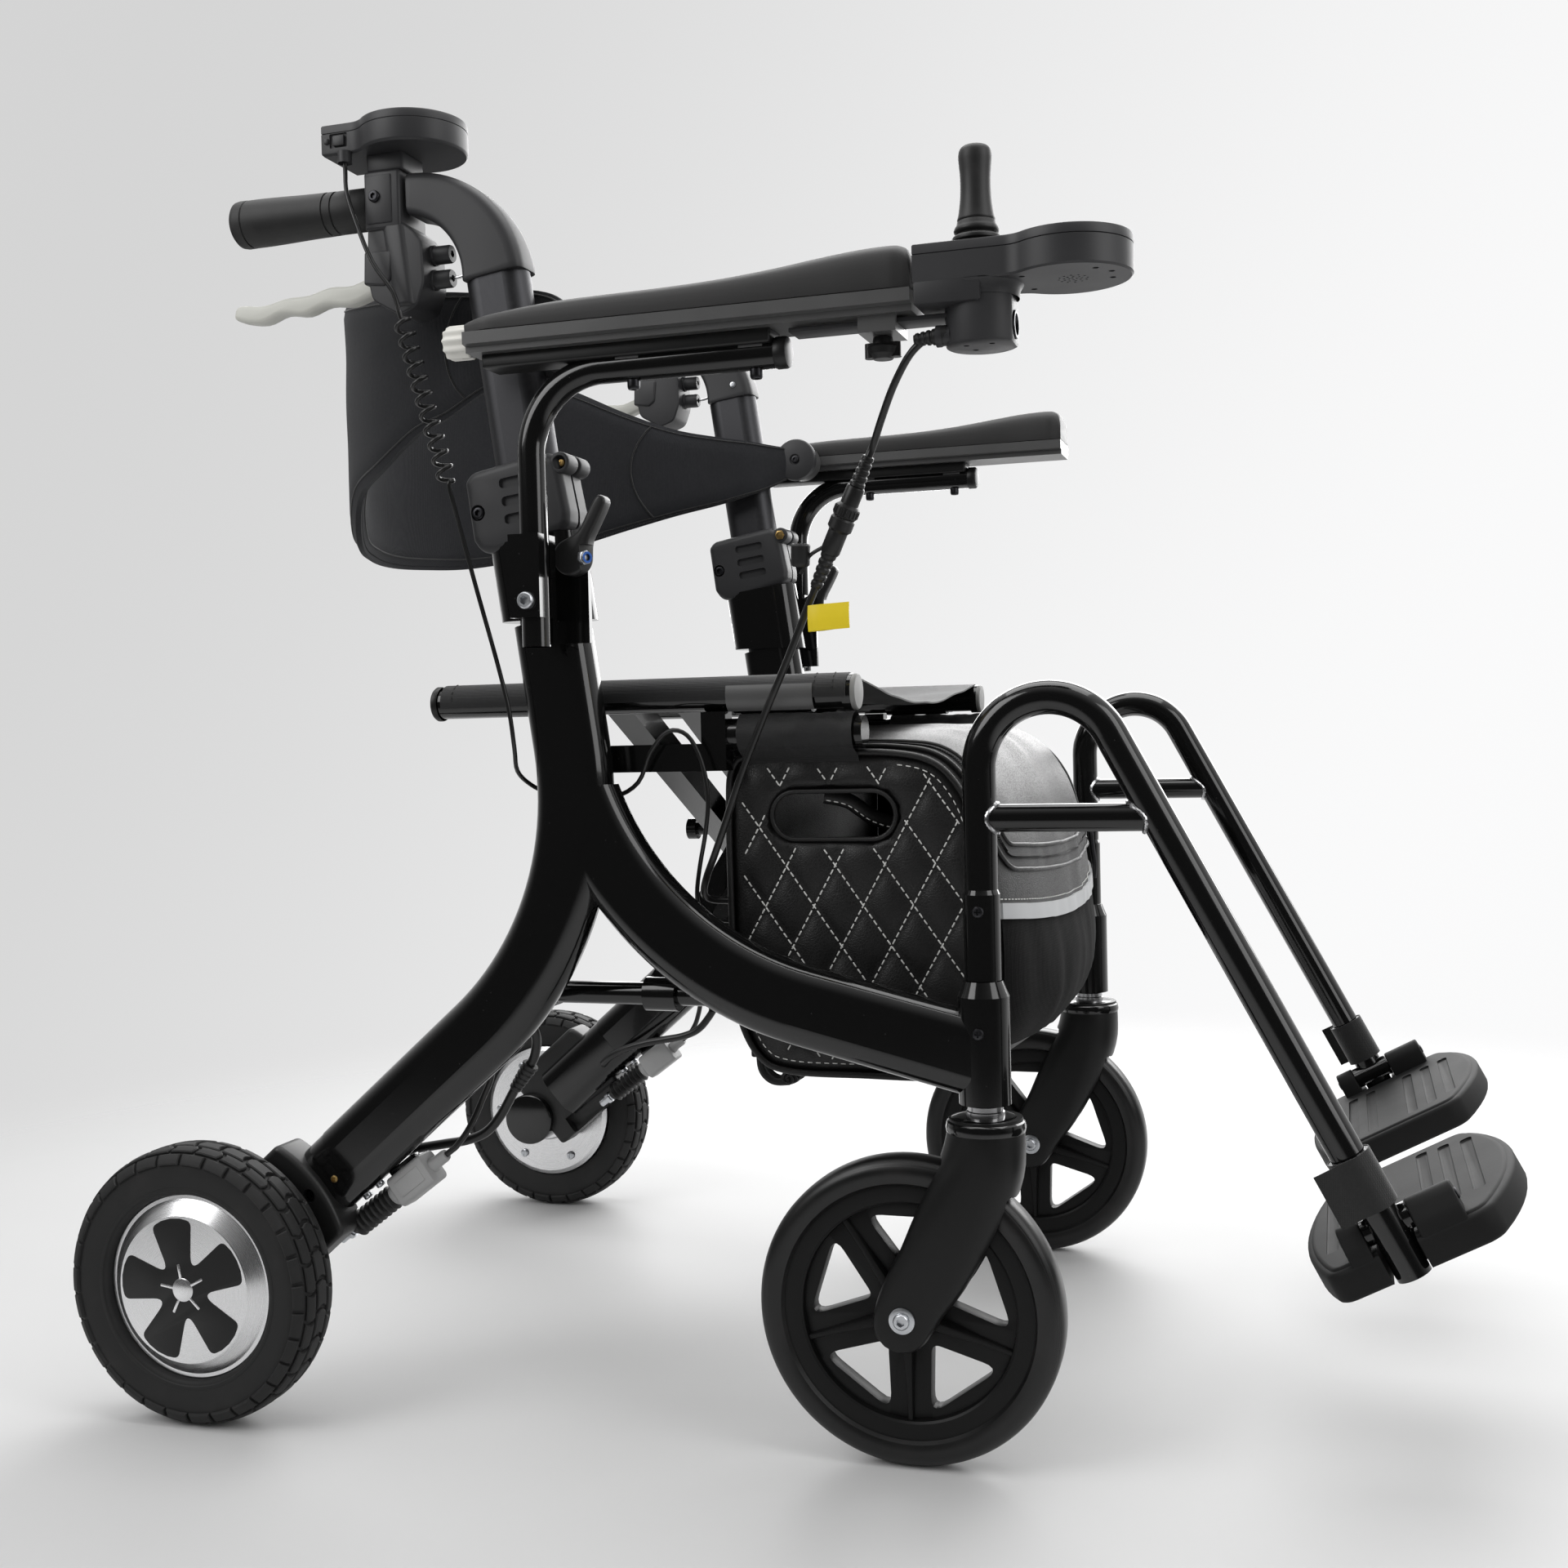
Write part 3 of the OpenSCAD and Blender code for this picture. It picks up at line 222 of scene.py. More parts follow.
def turned_aluminium():
    """Bright metal with fine lathe lines round the wheel's axle."""
    f = Finish("turned_aluminium", metallic=1.0)
    position = f.node("ShaderNodeSeparateXYZ", {}, {0: f.place()})
    x = Value(f, position.socket.node.outputs["X"]) - AXLE_X
    z = Value(f, position.socket.node.outputs["Z"]) - AXLE_Z
    squared = x * x + z * z
    radius = squared.math("POWER", squared, 0.5)
    rings = f.node("ShaderNodeTexNoise", {"noise_dimensions": "1D"}, {"W": radius, "Scale": 2600.0}, "Fac")
    cloud = f.noise(30, 3)
    return f.feed(
        base_color=f.tint(cloud, grey(0.78, cool=0.01), grey(0.9, cool=0.01)),
        roughness=0.16 + cloud * 0.1 + rings * 0.12,
        normal=f.bump(rings, 0.012, 0.35),
    )


def plated(name, colour, roughness=0.24):
    """Metal with a cloudy plated or oxide skin."""
    f = Finish(name, metallic=1.0)
    cloud = f.noise(3, 2)
    return f.feed(
        base_color=f.tint(cloud, [c * 0.8 for c in colour[:3]] + [1], colour),
        roughness=roughness + cloud * 0.15,
        normal=f.bump(f.noise(0.6, 1), 0.01, 0.4),
    )


def pad_skin():
    f = Finish("armrest_skin", ior=1.5, sheen_weight=0.15, sheen_roughness=0.5)
    wear = f.noise(45, 4)
    pores = f.cells(1.1)
    return f.feed(
        base_color=f.tint(wear, grey(0.013), grey(0.024, 0.001)),
        roughness=0.42 + wear * 0.12,
        normal=f.bump(pores, 0.05, 0.45),
    )


def leather():
    f = Finish("quilted_leather", ior=1.5)
    grain = f.cells(1.9, "DISTANCE_TO_EDGE")
    fold = f.noise(9, 3)
    pebble = f.between(grain, 0.0, 0.18)
    shade = f.noise(50, 2)
    return f.feed(
        base_color=f.tint(shade, grey(0.0068), grey(0.0119, 0.0005)),
        roughness=0.34 + shade * 0.12 + (1 - pebble) * 0.15,
        normal=f.bump(pebble + fold * 0.8, 0.13, 0.55),
    )


def woven(name, colour, thread=0.7, sheen=0.35, roughness=0.75, ior=1.5):
    """Plain weave cloth: threads cross over and under in two directions."""
    f = Finish(name, ior=ior, sheen_weight=sheen, sheen_roughness=0.45)
    wave = {"wave_type": "BANDS", "wave_profile": "SIN"}
    sockets = {"Vector": f.place(), "Scale": 1000 / thread / 3.1}
    across = [f.node("ShaderNodeTexWave", {**wave, "bands_direction": way}, sockets, "Fac") for way in "XYZ"]
    weave = across[0] * across[1] + across[1] * across[2] + across[2] * across[0]
    cloud = f.noise(40, 3)
    lint = f.noise(2.5, 2)
    return f.feed(
        base_color=f.tint(cloud, [c * 0.75 for c in colour[:3]] + [1], [c * 1.3 for c in colour[:3]] + [1]),
        roughness=roughness + lint * 0.15,
        normal=f.bump(weave, 0.1, 0.5),
    )


def plain(name, colour, roughness):
    """An even colour with a faint cloud and a fine skin."""
    f = Finish(name)
    cloud = f.noise(20, 3)
    return f.feed(
        base_color=f.tint(cloud, [c * 0.88 for c in colour[:3]] + [1], colour),
        roughness=roughness + cloud * 0.1,
        normal=f.bump(f.noise(1.5, 2), 0.02, 0.5),
    )


PAINT = gloss_paint()
PLASTIC = moulding("black_moulding", 0.03, 0.46, cool=0.002)
FORK_PLASTIC = moulding("fork_moulding", 0.006, 0.38, 0.7, ior=1.38)
RIM_PLASTIC = moulding("rim_moulding", 0.005, 0.4, 0.8, ior=1.32)
PLATE_PLASTIC = moulding("footplate_moulding", 0.012, 0.6, 0.9, 0.05, ior=1.24)
DARK_PLASTIC = moulding("dark_moulding", 0.008, 0.4)
GREY_PLASTIC = moulding("grey_moulding", 0.33, 0.45, 0.8)
LEVER_PAINT = plain("lever_paint", (0.62, 0.62, 0.57, 1), 0.38)
WHITE_PLASTIC = plain("white_cap", (0.78, 0.77, 0.72, 1), 0.42)
TYRE = rubber_skin("tread_rubber", 0.0085, 0.62)
FRONT_TYRE = rubber_skin("castor_rubber", 0.0045, 0.28, 1.4, 0.02)
GRIP = rubber_skin("grip_rubber", 0.016, 0.5, 0.5, 0.05)
BOOT = rubber_skin("boot_rubber", 0.011, 0.42)
CORD = rubber_skin("cord_jacket", 0.010, 0.24, 1.2, 0.01)
ALUMINIUM = turned_aluminium()
INLAY = moulding("hub_inlay", 0.006, 0.5)
ZINC = plated("zinc_plate", (0.72, 0.74, 0.77, 1))
STEEL = plated("bright_steel", (0.62, 0.62, 0.63, 1), 0.16)
BLACK_SCREW = plated("black_oxide", (0.06, 0.06, 0.065, 1), 0.3)
BRASS = plated("brass_screw", (0.62, 0.42, 0.16, 1), 0.28)
BLUE_NYLON = plain("nut_insert", (0.02, 0.12, 0.5, 1), 0.4)
PAD = pad_skin()
LEATHER = leather()
THREAD = woven("white_thread", (0.7, 0.7, 0.68, 1), 0.35, 0.1)
BACK_CLOTH = woven("backrest_cloth", (0.0085, 0.009, 0.0118, 1), 0.55, 0.08)
SEAT_CLOTH = woven("seat_cloth", (0.0085, 0.0085, 0.009, 1), 0.8, 0.2, 0.6)
SLEEVE_CLOTH = woven("sleeve_cloth", (0.008, 0.008, 0.0085, 1), 0.45, 0.15, 0.5)
MESH_CLOTH = woven("pocket_mesh", (0.004, 0.004, 0.004, 1), 1.8, 0.02, 0.75, 1.16)
HOOK_TAPE = woven("hook_tape", (0.008, 0.008, 0.008, 1), 1.3, 0.4)
SATIN = plated("satin_tube", (0.085, 0.085, 0.09, 1), 0.4)
CHANNEL = moulding("arm_channel", 0.075, 0.3, 0.6)
LEVER_PLASTIC = moulding("cam_moulding", 0.014, 0.36)
CLIP = moulding("seat_clip", 0.085, 0.3, 0.6)
RAIL_CAP = plain("rail_cap", (0.2, 0.2, 0.195, 1), 0.42)
REFLECTIVE = plain("reflective_strip", (0.55, 0.56, 0.57, 1), 0.35)
TAG = plain("yellow_tag", (0.86, 0.66, 0.01, 1), 0.45)


# Shapes


class Shape:
    """Points in millimetres and faces, gathered until they become a piece."""

    def __init__(self, points=(), faces=()):
        self.points = [Vector(p) for p in points]
        self.faces = [tuple(f) for f in faces]

    def add(self, *others):
        for other in others:
            start = len(self.points)
            self.points += other.points
            self.faces += [tuple(i + start for i in f) for f in other.faces]
        return self

    def moved(self, matrix):
        return Shape([matrix @ p for p in self.points], self.faces)

    def at(self, x, y, z):
        return self.moved(Matrix.Translation((x, y, z)))

    def mirrored(self):
        return Shape([(p.x, -p.y, p.z) for p in self.points], [f[::-1] for f in self.faces])


def around(radius, angle):
    return (radius * math.cos(angle), radius * math.sin(angle))


def step(value, low, high):
    """0 below low, 1 above high, and a smooth step between."""
    t = min(1, max(0, (value - low) / (high - low)))
    return t * t * (3 - 2 * t)


def aim(origin, direction, twist=0.0):
    """Stands a shape that is drawn along Z at origin, pointing along direction."""
    turn = Vector(direction).to_track_quat("Z", "Y").to_matrix().to_4x4()
    return Matrix.Translation(Vector(origin)) @ turn @ Matrix.Rotation(twist, 4, "Z")


def loft(rings, caps=True, closed=False):
    """Joins rings that have the same number of points."""
    count = len(rings[0])
    shape = Shape([p for ring in rings for p in ring])
    spans = len(rings) if closed else len(rings) - 1
    for i in range(spans):
        a, b = i * count, (i + 1) % len(rings) * count
        for k in range(count):
            n = (k + 1) % count
            shape.faces.append((a + k, a + n, b + n, b + k))
    if caps and not closed:
        shape.faces.append(tuple(range(count))[::-1])
        shape.faces.append(tuple(range((len(rings) - 1) * count, len(rings) * count)))
    return shape


def lathe(profile, steps=48):
    """Turns (radius, height) points about Z, from the bottom up."""
    shape = Shape()
    rings = []
    for radius, height in profile:
        turns = 1 if radius < 1e-6 else steps
        first = len(shape.points)
        for k in range(turns):
            shape.points.append(Vector((*around(radius, math.tau * k / steps), height)))
        rings.append((first, turns))
    for (a, m), (b, n) in zip(rings, rings[1:]):
        for k in range(steps):
            corner = [a + k % m, a + (k + 1) % m, b + (k + 1) % n, b + k % n]
            shape.faces.append(tuple(dict.fromkeys(corner)))
    return shape


def slab(outline, low, high):
    """A side view in (x, z), between y low and y high."""
    return loft([[(x, high, z) for x, z in outline], [(x, low, z) for x, z in outline]])


def plate(outline, low, high):
    """A plan in (x, y), between z low and z high."""
    return loft([[(x, y, low) for x, y in outline], [(x, y, high) for x, y in outline]])


def box(low, high):
    (x0, y0, z0), (x1, y1, z1) = low, high
    return plate([(x0, y0), (x1, y0), (x1, y1), (x0, y1)], z0, z1)


def to_bmesh(shape):
    bm = bmesh.new()
    verts = [bm.verts.new(p) for p in shape.points]
    for face in shape.faces:
        bm.faces.new([verts[i] for i in face])
    bm.normal_update()
    return bm


def from_bmesh(bm):
    bm.verts.index_update()
    shape = Shape([v.co for v in bm.verts], [[v.index for v in f.verts] for f in bm.faces])
    bm.free()
    return shape


def soften(shape, width, angle=30, segments=3):
    """Rounds every edge that turns by more than angle."""
    bm = to_bmesh(shape)
    limit = math.radians(angle)
    edges = [e for e in bm.edges if len(e.link_faces) == 2 and e.calc_face_angle() > limit]
    bmesh.ops.bevel(
        bm, geom=edges, offset=width, segments=segments, profile=0.5, affect="EDGES", clamp_overlap=True
    )
    return from_bmesh(bm)


def cut(shape, *tools):
    """Takes the tools away from a closed shape."""
    things = []
    for s in (shape, *tools):
        mesh = bpy.data.meshes.new("cut")
        mesh.from_pydata(s.points, [], s.faces)
        thing = bpy.data.objects.new("cut", mesh)
        scene.collection.objects.link(thing)
        things.append(thing)
    for tool in things[1:]:
        modifier = things[0].modifiers.new("cut", "BOOLEAN")
        modifier.object = tool
        modifier.operation = "DIFFERENCE"
        modifier.solver = "EXACT"
    bpy.context.view_layer.update()
    result = things[0].evaluated_get(bpy.context.evaluated_depsgraph_get()).to_mesh()
    made = Shape([v.co.copy() for v in result.vertices], [tuple(f.vertices) for f in result.polygons])
    for thing in things:
        bpy.data.objects.remove(thing)
    return made


def curve(points, steps=6, closed=False):
    """A smooth line through points."""
    p = [Vector(q) for q in points]
    n = len(p)
    line = []
    for i in range(n if closed else n - 1):
        a, b, c, d = (p[j % n] if closed else p[min(max(j, 0), n - 1)] for j in (i - 1, i, i + 1, i + 2))
        for k in range(steps):
            t = k / steps
            bend = (2 * a - 5 * b + 4 * c - d) * t**2
            line.append(0.5 * (2 * b + (c - a) * t + bend + (3 * b - a - 3 * c + d) * t**3))
    return line if closed else line + [p[-1]]


def rounded(outline, radius, steps=5):
    """A closed outline with its corners turned into arcs; radius may be one number or one for each corner."""
    n = len(outline)
    made = []
    for i in range(n):
        a, b, c = (Vector(outline[j % n]) for j in (i - 1, i, i + 1))
        r = radius if isinstance(radius, (int, float)) else radius[i]
        u, v = (a - b), (c - b)
        half = u.angle(v) / 2
        if r <= 0 or half > math.radians(88):
            made.append(tuple(b))
            continue
        reach = min(r / math.tan(half), 0.49 * u.length, 0.49 * v.length)
        start, end = b + u.normalized() * reach, b + v.normalized() * reach
        for k in range(steps + 1):
            t = k / steps
            made.append(tuple((1 - t) ** 2 * start + 2 * t * (1 - t) * b + t**2 * end))
    return made


def frames_along(line):
    """A tangent and two sides at each point, carried along without twist."""
    n = len(line)
    side = None
    made = []
    for i in range(n):
        t = (line[min(i + 1, n - 1)] - line[max(i - 1, 0)]).normalized()
        if side is None:
            side = t.orthogonal().normalized()
        side = (side - t * side.dot(t)).normalized()
        made.append((t, side, t.cross(side)))
    return made


def tube(line, radius, sides=12):
    """A round bar along a line; radius may be a number or a function of the share of the way along."""
    line = [Vector(p) for p in line]
    turns = [math.tau * k / sides for k in range(sides)]
    rings = []
    for i, (p, (_, u, v)) in enumerate(zip(line, frames_along(line))):
        r = radius(i / (len(line) - 1)) if callable(radius) else radius
        rings.append([p + (u * math.cos(a) + v * math.sin(a)) * r for a in turns])
    return loft(rings)


def piped(line, radius):
    """A round cord along a line that meets its own start."""
    turns = [math.tau * k / 8 for k in range(8)]
    return loft([
        [p + (u * math.cos(a) + v * math.sin(a)) * radius for a in turns]
        for p, (_, u, v) in zip(line, frames_along(line))
    ], False, True)


def stitches(line, length, gap, radius):
    """Short threads along a line."""
    line = [Vector(p) for p in line]
    shape = Shape()
    travelled, target = 0.0, gap
    marks = []
    for a, b in zip(line, line[1:]):
        span = (b - a).length
        while target <= travelled + span and span > 0:
            marks.append(a + (b - a) * ((target - travelled) / span))
            target += length if len(marks) % 2 else gap
        travelled += span
    for a, b in zip(marks[::2], marks[1::2]):
        end = (b - a).normalized() * 0.4
        shape.add(tube([a, a + end, b - end, b], lambda t: radius * (0.45 if t in (0, 1) else 1), 6))
    return shape


# Pieces


def body_of(side, part):
    return f"frame_{side}" if part == "frame" else f"{side}_{part}"


def piece(name, shape, finish, body, crease=35, stands_for=()):
    """Makes a mesh from a shape, smooth except at edges sharper than crease, and enters it in the frame."""
    mesh = bpy.data.meshes.new(name)
    mesh.from_pydata([spot(*p) for p in shape.points], [], shape.faces)
    bm = bmesh.new()
    bm.from_mesh(mesh)
    bmesh.ops.remove_doubles(bm, verts=bm.verts, dist=1e-6)
    bmesh.ops.recalc_face_normals(bm, faces=bm.faces)
    limit = math.radians(crease)
    for edge in bm.edges:
        edge.smooth = len(edge.link_faces) != 2 or edge.calc_face_angle() < limit
    for face in bm.faces:
        face.smooth = True
    bm.to_mesh(mesh)
    bm.free()
    mesh.materials.append(finish)
    made = bpy.data.objects.new(name, mesh)
    scene.collection.objects.link(made)
    if body:
        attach(made, body)
    if stands_for:
        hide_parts(*stands_for)
    return made


def on_side(shape, side):
    """A shape that is drawn on the right: as it is, or mirrored for the left."""
    return shape if side == "right" else shape.mirrored()


def pair(name, shape, finish, part, crease=35, node=None):
    """The same piece on the right and, mirrored, on the left."""
    made = {}
    for side in SIDES:
        stands_for = (f"{side}_{node}",) if node else ()
        made[side] = piece(
            f"{side}_{name}", on_side(shape, side), finish, body_of(side, part), crease, stands_for
        )
    return made


# Fasteners, drawn along Z with the seat at 0

OUT = (0, -1, 0)
SCREW_STEPS = 24
screw_angles = [math.tau * k / SCREW_STEPS for k in range(SCREW_STEPS)]


def hex_radius(radius, angle):
    """How far a hexagon reaches at an angle."""
    return radius / math.cos((angle + math.pi / 6) % (math.pi / 3) - math.pi / 6)


def socket_screw(head, height):
    """A round head with a hexagon socket."""
    r, dome = head / 2, 0.35
    shape = lathe([
        (r, 0), (r, height * (1 - dome)), (r * 0.93, height * (1 - dome * 0.35)), (r * 0.8, height),
        (r * 0.56, height)
    ], SCREW_STEPS)
    start = len(shape.points) - SCREW_STEPS
    for depth, scale in ((height, 0.46), (height * 0.35, 0.44)):
        ring = len(shape.points)
        shape.points += [Vector((*around(hex_radius(r * scale, a), a), depth)) for a in screw_angles]
        for k in range(SCREW_STEPS):
            n = (k + 1) % SCREW_STEPS
            shape.faces.append((start + k, start + n, ring + n, ring + k))
        start = ring
    shape.faces.append(tuple(range(start, start + SCREW_STEPS)))
    return shape


def cross_screw(head, height):
    """A pan head with a cross recess."""
    r = head / 2
    profile = [(r, 0), (r, height * 0.45), (r * 0.85, height * 0.85), (r * 0.5, height), (0, height)]
    arm = box((-r * 0.55, -r * 0.11, height * 0.6), (r * 0.55, r * 0.11, height * 1.6))
    return cut(lathe(profile, SCREW_STEPS), arm, arm.moved(Matrix.Rotation(math.pi / 2, 4, "Z")))


def lock_nut(width, height):
    """A hexagon nut with a round collar for its insert."""
    r = width / math.sqrt(3)
    corners = [around(r, math.tau * k / 6) for k in range(6)]
    collar = [(r * 0.8, height * 0.7), (r * 0.78, height * 0.95), (r * 0.66, height), (r * 0.5, height)]
    return soften(plate(corners, 0, height * 0.7), width * 0.05, 20, 2).add(lathe(collar, SCREW_STEPS))


def fasten(name, screws, finish, part):
    """Screws given as (shape, place, direction), all on one part."""
    shape = Shape()
    for screw, place, direction in screws:
        shape.add(screw.moved(aim(place, direction)))
    pair(name, shape, finish, part)


# Finishes of the pieces that keep their solid

KEPT = {
    "rear_leg": (PAINT, "gloss_black"),
    "front_leg": (PAINT, "gloss_black"),
    "rails": (PAINT, "gloss_black"),
    "handle_tube": (SATIN, "gloss_black"),
    "arm_channel": (CHANNEL, "gloss_black"),
    "arm_tube": (PAINT, "gloss_black"),
    "leg_rest": (PAINT, "gloss_black"),
    "brace_a": (PAINT, "gloss_black"),
    "brace_b": (PAINT, "gloss_black"),
    "battery": (PLASTIC, "black_plastic"),
    "joystick_gimbal": (STEEL, "steel"),
    "thumb_knob": (DARK_PLASTIC, "black_plastic"),
}
for name, node in nodes.items():
    kind = name.removeprefix("right_").removeprefix("left_")
    finish, slot = KEPT.get(kind, (PLASTIC, "black_plastic"))
    node.data.materials.clear()
    node.data.materials.append(finish)


# Rear wheels

REAR_R = 100.0
REAR_Y = 298.0
TREAD_BLOCKS = 30
TYRE_SCALE = 0.84
TREAD_LIFT = 2.3


def tyre_section():
    """Half outline of the tyre's section as (radius, distance from the mid plane), bead to crown."""
    half = [
        (66.2, 17.0), (67.5, 20.5), (72, 22.6), (80, 24.2), (86.5, 24.4), (91.5, 22.6), (95.2, 18.6),
        (97.2, 12), (97.7, 0)
    ]
    return [(p.x, p.y) for p in curve([(r, w * TYRE_SCALE, 0) for r, w in half], 4)]


def rear_tyre():
    half = tyre_section()
    outline = [(r, -w) for r, w in half] + [(r, w) for r, w in half[-2::-1]]
    shape = lathe(outline + outline[:1], 144)
    # Raised ring where the side wall meets the hub
    ring = [(69.5, 22), (70.2, 22.9), (71.4, 23.2), (72.6, 22.9), (73, 22.2)]
    shape.add(lathe([(r, w * TYRE_SCALE) for r, w in ring], 96))

    def on_tread(angle, reach, lift):
        """A point on the tread, reach millimetres from the crown along the section."""
        left = abs(reach) * TYRE_SCALE
        for (r0, w0), (r1, w1) in zip(half[::-1], half[-2::-1]):
            span = math.hypot(r1 - r0, w1 - w0)
            if left <= span:
                break
            left -= span
        t = left / span
        r, w = r0 + (r1 - r0) * t, w0 + (w1 - w0) * t
        out_r, out_w = (w1 - w0) / span, (r0 - r1) / span
        r, w = r + out_r * lift, w + out_w * lift
        return Vector((r * math.cos(angle), r * math.sin(angle), math.copysign(w, reach)))

    def block(angle, width, low, high, skew):
        """A tread block with sloping walls; skew slides its far edge along the tyre."""
        steps = 3
        shell = Shape()
        layers = ((-0.6, 0.0), (TREAD_LIFT * 0.7, 0.5), (TREAD_LIFT, 1.3))
        for lift, inset in layers:
            for i in range(steps + 1):
                for j in range(steps + 1):
                    s, t = i / steps, j / steps
                    reach = low + inset + (high - low - 2 * inset) * t
                    along = (s - 0.5) * (width - 2 * inset) + skew * abs(t - 0.5) * 2
                    shell.points.append(on_tread(angle + along / REAR_R, reach, lift))
        count = (steps + 1) ** 2

        def index(layer, i, j):
            return layer * count + i * (steps + 1) + j

        for i in range(steps):
            for j in range(steps):
                shell.faces.append(
                    tuple(index(2, a, b) for a, b in ((i, j), (i + 1, j), (i + 1, j + 1), (i, j + 1)))
                )
        rim = [(i, 0) for i in range(steps)] + [(steps, j) for j in range(steps)]
        rim += [(i, steps) for i in range(steps, 0, -1)] + [(0, j) for j in range(steps, 0, -1)]
        for layer in range(2):
            for a, b in zip(rim, rim[1:] + rim[:1]):
                shell.faces.append(
                    (index(layer, *a), index(layer, *b), index(layer + 1, *b), index(layer + 1, *a))
                )
        return shell

    pitch = math.tau / TREAD_BLOCKS
    length = REAR_R * pitch
    for k in range(TREAD_BLOCKS):
        shape.add(block(k * pitch, length - 1.6, 19.5, 29, 0), block(k * pitch, length - 1.6, -29, -19.5, 0))
        shape.add(block((k + 0.5) * pitch, length - 2.0, 8.2, 18.2, 2.4))
        shape.add(block((k + 0.5) * pitch, length - 2.0, -18.2, -8.2, 2.4))
        shape.add(block(k * pitch, length - 2.4, -6.8, 6.8, -3.2))
    return shape


wheel_turn = aim((0, -REAR_Y, REAR_R), OUT)
tyre_turn = aim((0, -REAR_Y - 2.6, REAR_R), OUT)
pair("rear_tread", rear_tyre().moved(tyre_turn), TYRE, "rear_wheel", 30, "rear_tyre")

PETALS = 5
HUB_TURN = 100
HUB_FACE = 24.0
# Corners of one petal as (distance from the axle, degrees from its middle, fillet)
PETAL_CORNERS = ((15, -36, 5), (50, -19.5, 7), (50.9, -9, 0), (51.2, 0, 0), (50.9, 9, 0), (50, 19.5, 7))


def hub_inlay():
    """One black spider of five fan shaped petals, a little proud of the hub's face."""
    outline, radii = [], []
    for k in range(PETALS):
        for reach, turn, fillet in PETAL_CORNERS:
            outline.append(around(reach, math.radians(HUB_TURN + 360 * k / PETALS + turn)))
            radii.append(fillet)
    return soften(plate(rounded(outline, radii, 6), HUB_FACE - 1, HUB_FACE + 0.35), 0.25, 40, 2)


def hub_star():
    """The bright cap in the middle, with a ray along each petal."""
    shape = lathe(
        [(8.4, HUB_FACE - 1), (8.4, HUB_FACE + 0.4), (7.8, HUB_FACE + 0.8), (0, HUB_FACE + 0.9)], 40
    )
    for k in range(PETALS):
        turn = Matrix.Rotation(math.tau * k / PETALS + math.radians(HUB_TURN), 4, "Z")
        ray = soften(box((6, -1.1, HUB_FACE - 1), (18.5, 1.1, HUB_FACE + 0.7)), 0.5, 40, 2)
        shape.add(ray.moved(turn))
    return shape


hub_rings = [
    (0, HUB_FACE), (52.6, HUB_FACE), (53.4, HUB_FACE - 0.5), (62, 15.6), (62.8, 15.2), (65.4, 15.2),
    (66, 14.6), (66, -18), (62, -21), (30, -21), (28, -23), (7, -23), (7, -18)
]
pair("hub_shell", lathe(hub_rings, 128).moved(wheel_turn), ALUMINIUM, "rear_wheel", 25, "rear_hub")
pair("hub_petals", hub_inlay().moved(wheel_turn), INLAY, "rear_wheel")
pair("hub_star", hub_star().moved(wheel_turn), ALUMINIUM, "rear_wheel")
fasten(
    "hub_screws",
    [
        (cross_screw(8, 2.2), (52 * math.cos(a), -REAR_Y + 22, REAR_R + 52 * math.sin(a)), (0, 1, 0))
        for a in (math.tau * k / 6 for k in range(6))
    ],
    ZINC,
    "rear_wheel",
)


# Front castors

FRAME_Y = 248.0
CASTOR_X = 564.0
FRONT_X = 511.5
FRONT_R = 102.5
FORK_IN = 18.0
SPOKES = 5
front_axle = aim((FRONT_X, -FRAME_Y, FRONT_R), OUT)


def front_tyre():
    half = [(84.2, 11), (86, 13.6), (89.5, 14.9), (94, 15), (97.2, 14.2)]
    grooves = [
        (98.0, 13.6), (97.9, 13.1), (98.9, 12.6), (100.2, 11.2), (100.2, 10.6), (101.2, 9.6), (102.3, 6.5),
        (102.5, 0)
    ]
    side = half + grooves
    outline = [(r, -w) for r, w in side] + [(r, w) for r, w in side[-2::-1]]
    return lathe(outline + outline[:1], 128)


def front_rim():
    """Five triangular windows between ribbed spokes, inside a channelled flange."""
    disc = lathe([(12, -6), (74, -6), (74, 6), (12, 6), (12, -6)], 96)
    tools = []
    for k in range(SPOKES):
        middle = math.radians(90 + 360 / SPOKES * k)
        half = math.radians(25)
        window = [around(25, middle), around(69, middle - half), around(69, middle + half)]
        tools.append(plate(rounded(window, [5, 6, 6], 5), -20, 20))
    shape = soften(cut(disc, *tools), 1.0, 40, 2)
    shape.add(lathe([
        (71, -5), (72, -9.5), (73.5, -10.6), (82, -11.4), (84.2, -11), (84.2, 11), (82, 11.4), (73.5, 10.6),
        (72, 9.5), (71, 5), (71, -5)
    ], 128))
    boss = [(4.2, -17), (15, -17), (17.5, -15.5), (19, -6), (19, 6), (17.5, 15.5), (15, 17), (4.2, 17)]
    shape.add(lathe(boss, 48))
    for k in range(SPOKES):
        turn = Matrix.Rotation(math.radians(54 + 360 / SPOKES * k), 4, "Z")
        for way in (1, -1):
            rib = loft([
                [(12, -5, way * 5), (12, 5, way * 5), (12, 3.2, way * 15), (12, -3.2, way * 15)],
                [(50, -3, way * 5), (50, 3, way * 5), (50, 1.8, way * 9.6), (50, -1.8, way * 9.6)],
                [(73, -2.6, way * 5), (73, 2.6, way * 5), (73, 1.4, way * 8.6), (73, -1.4, way * 8.6)],
            ])
            shape.add(soften(rib, 0.6, 40, 2).moved(turn))
    return shape


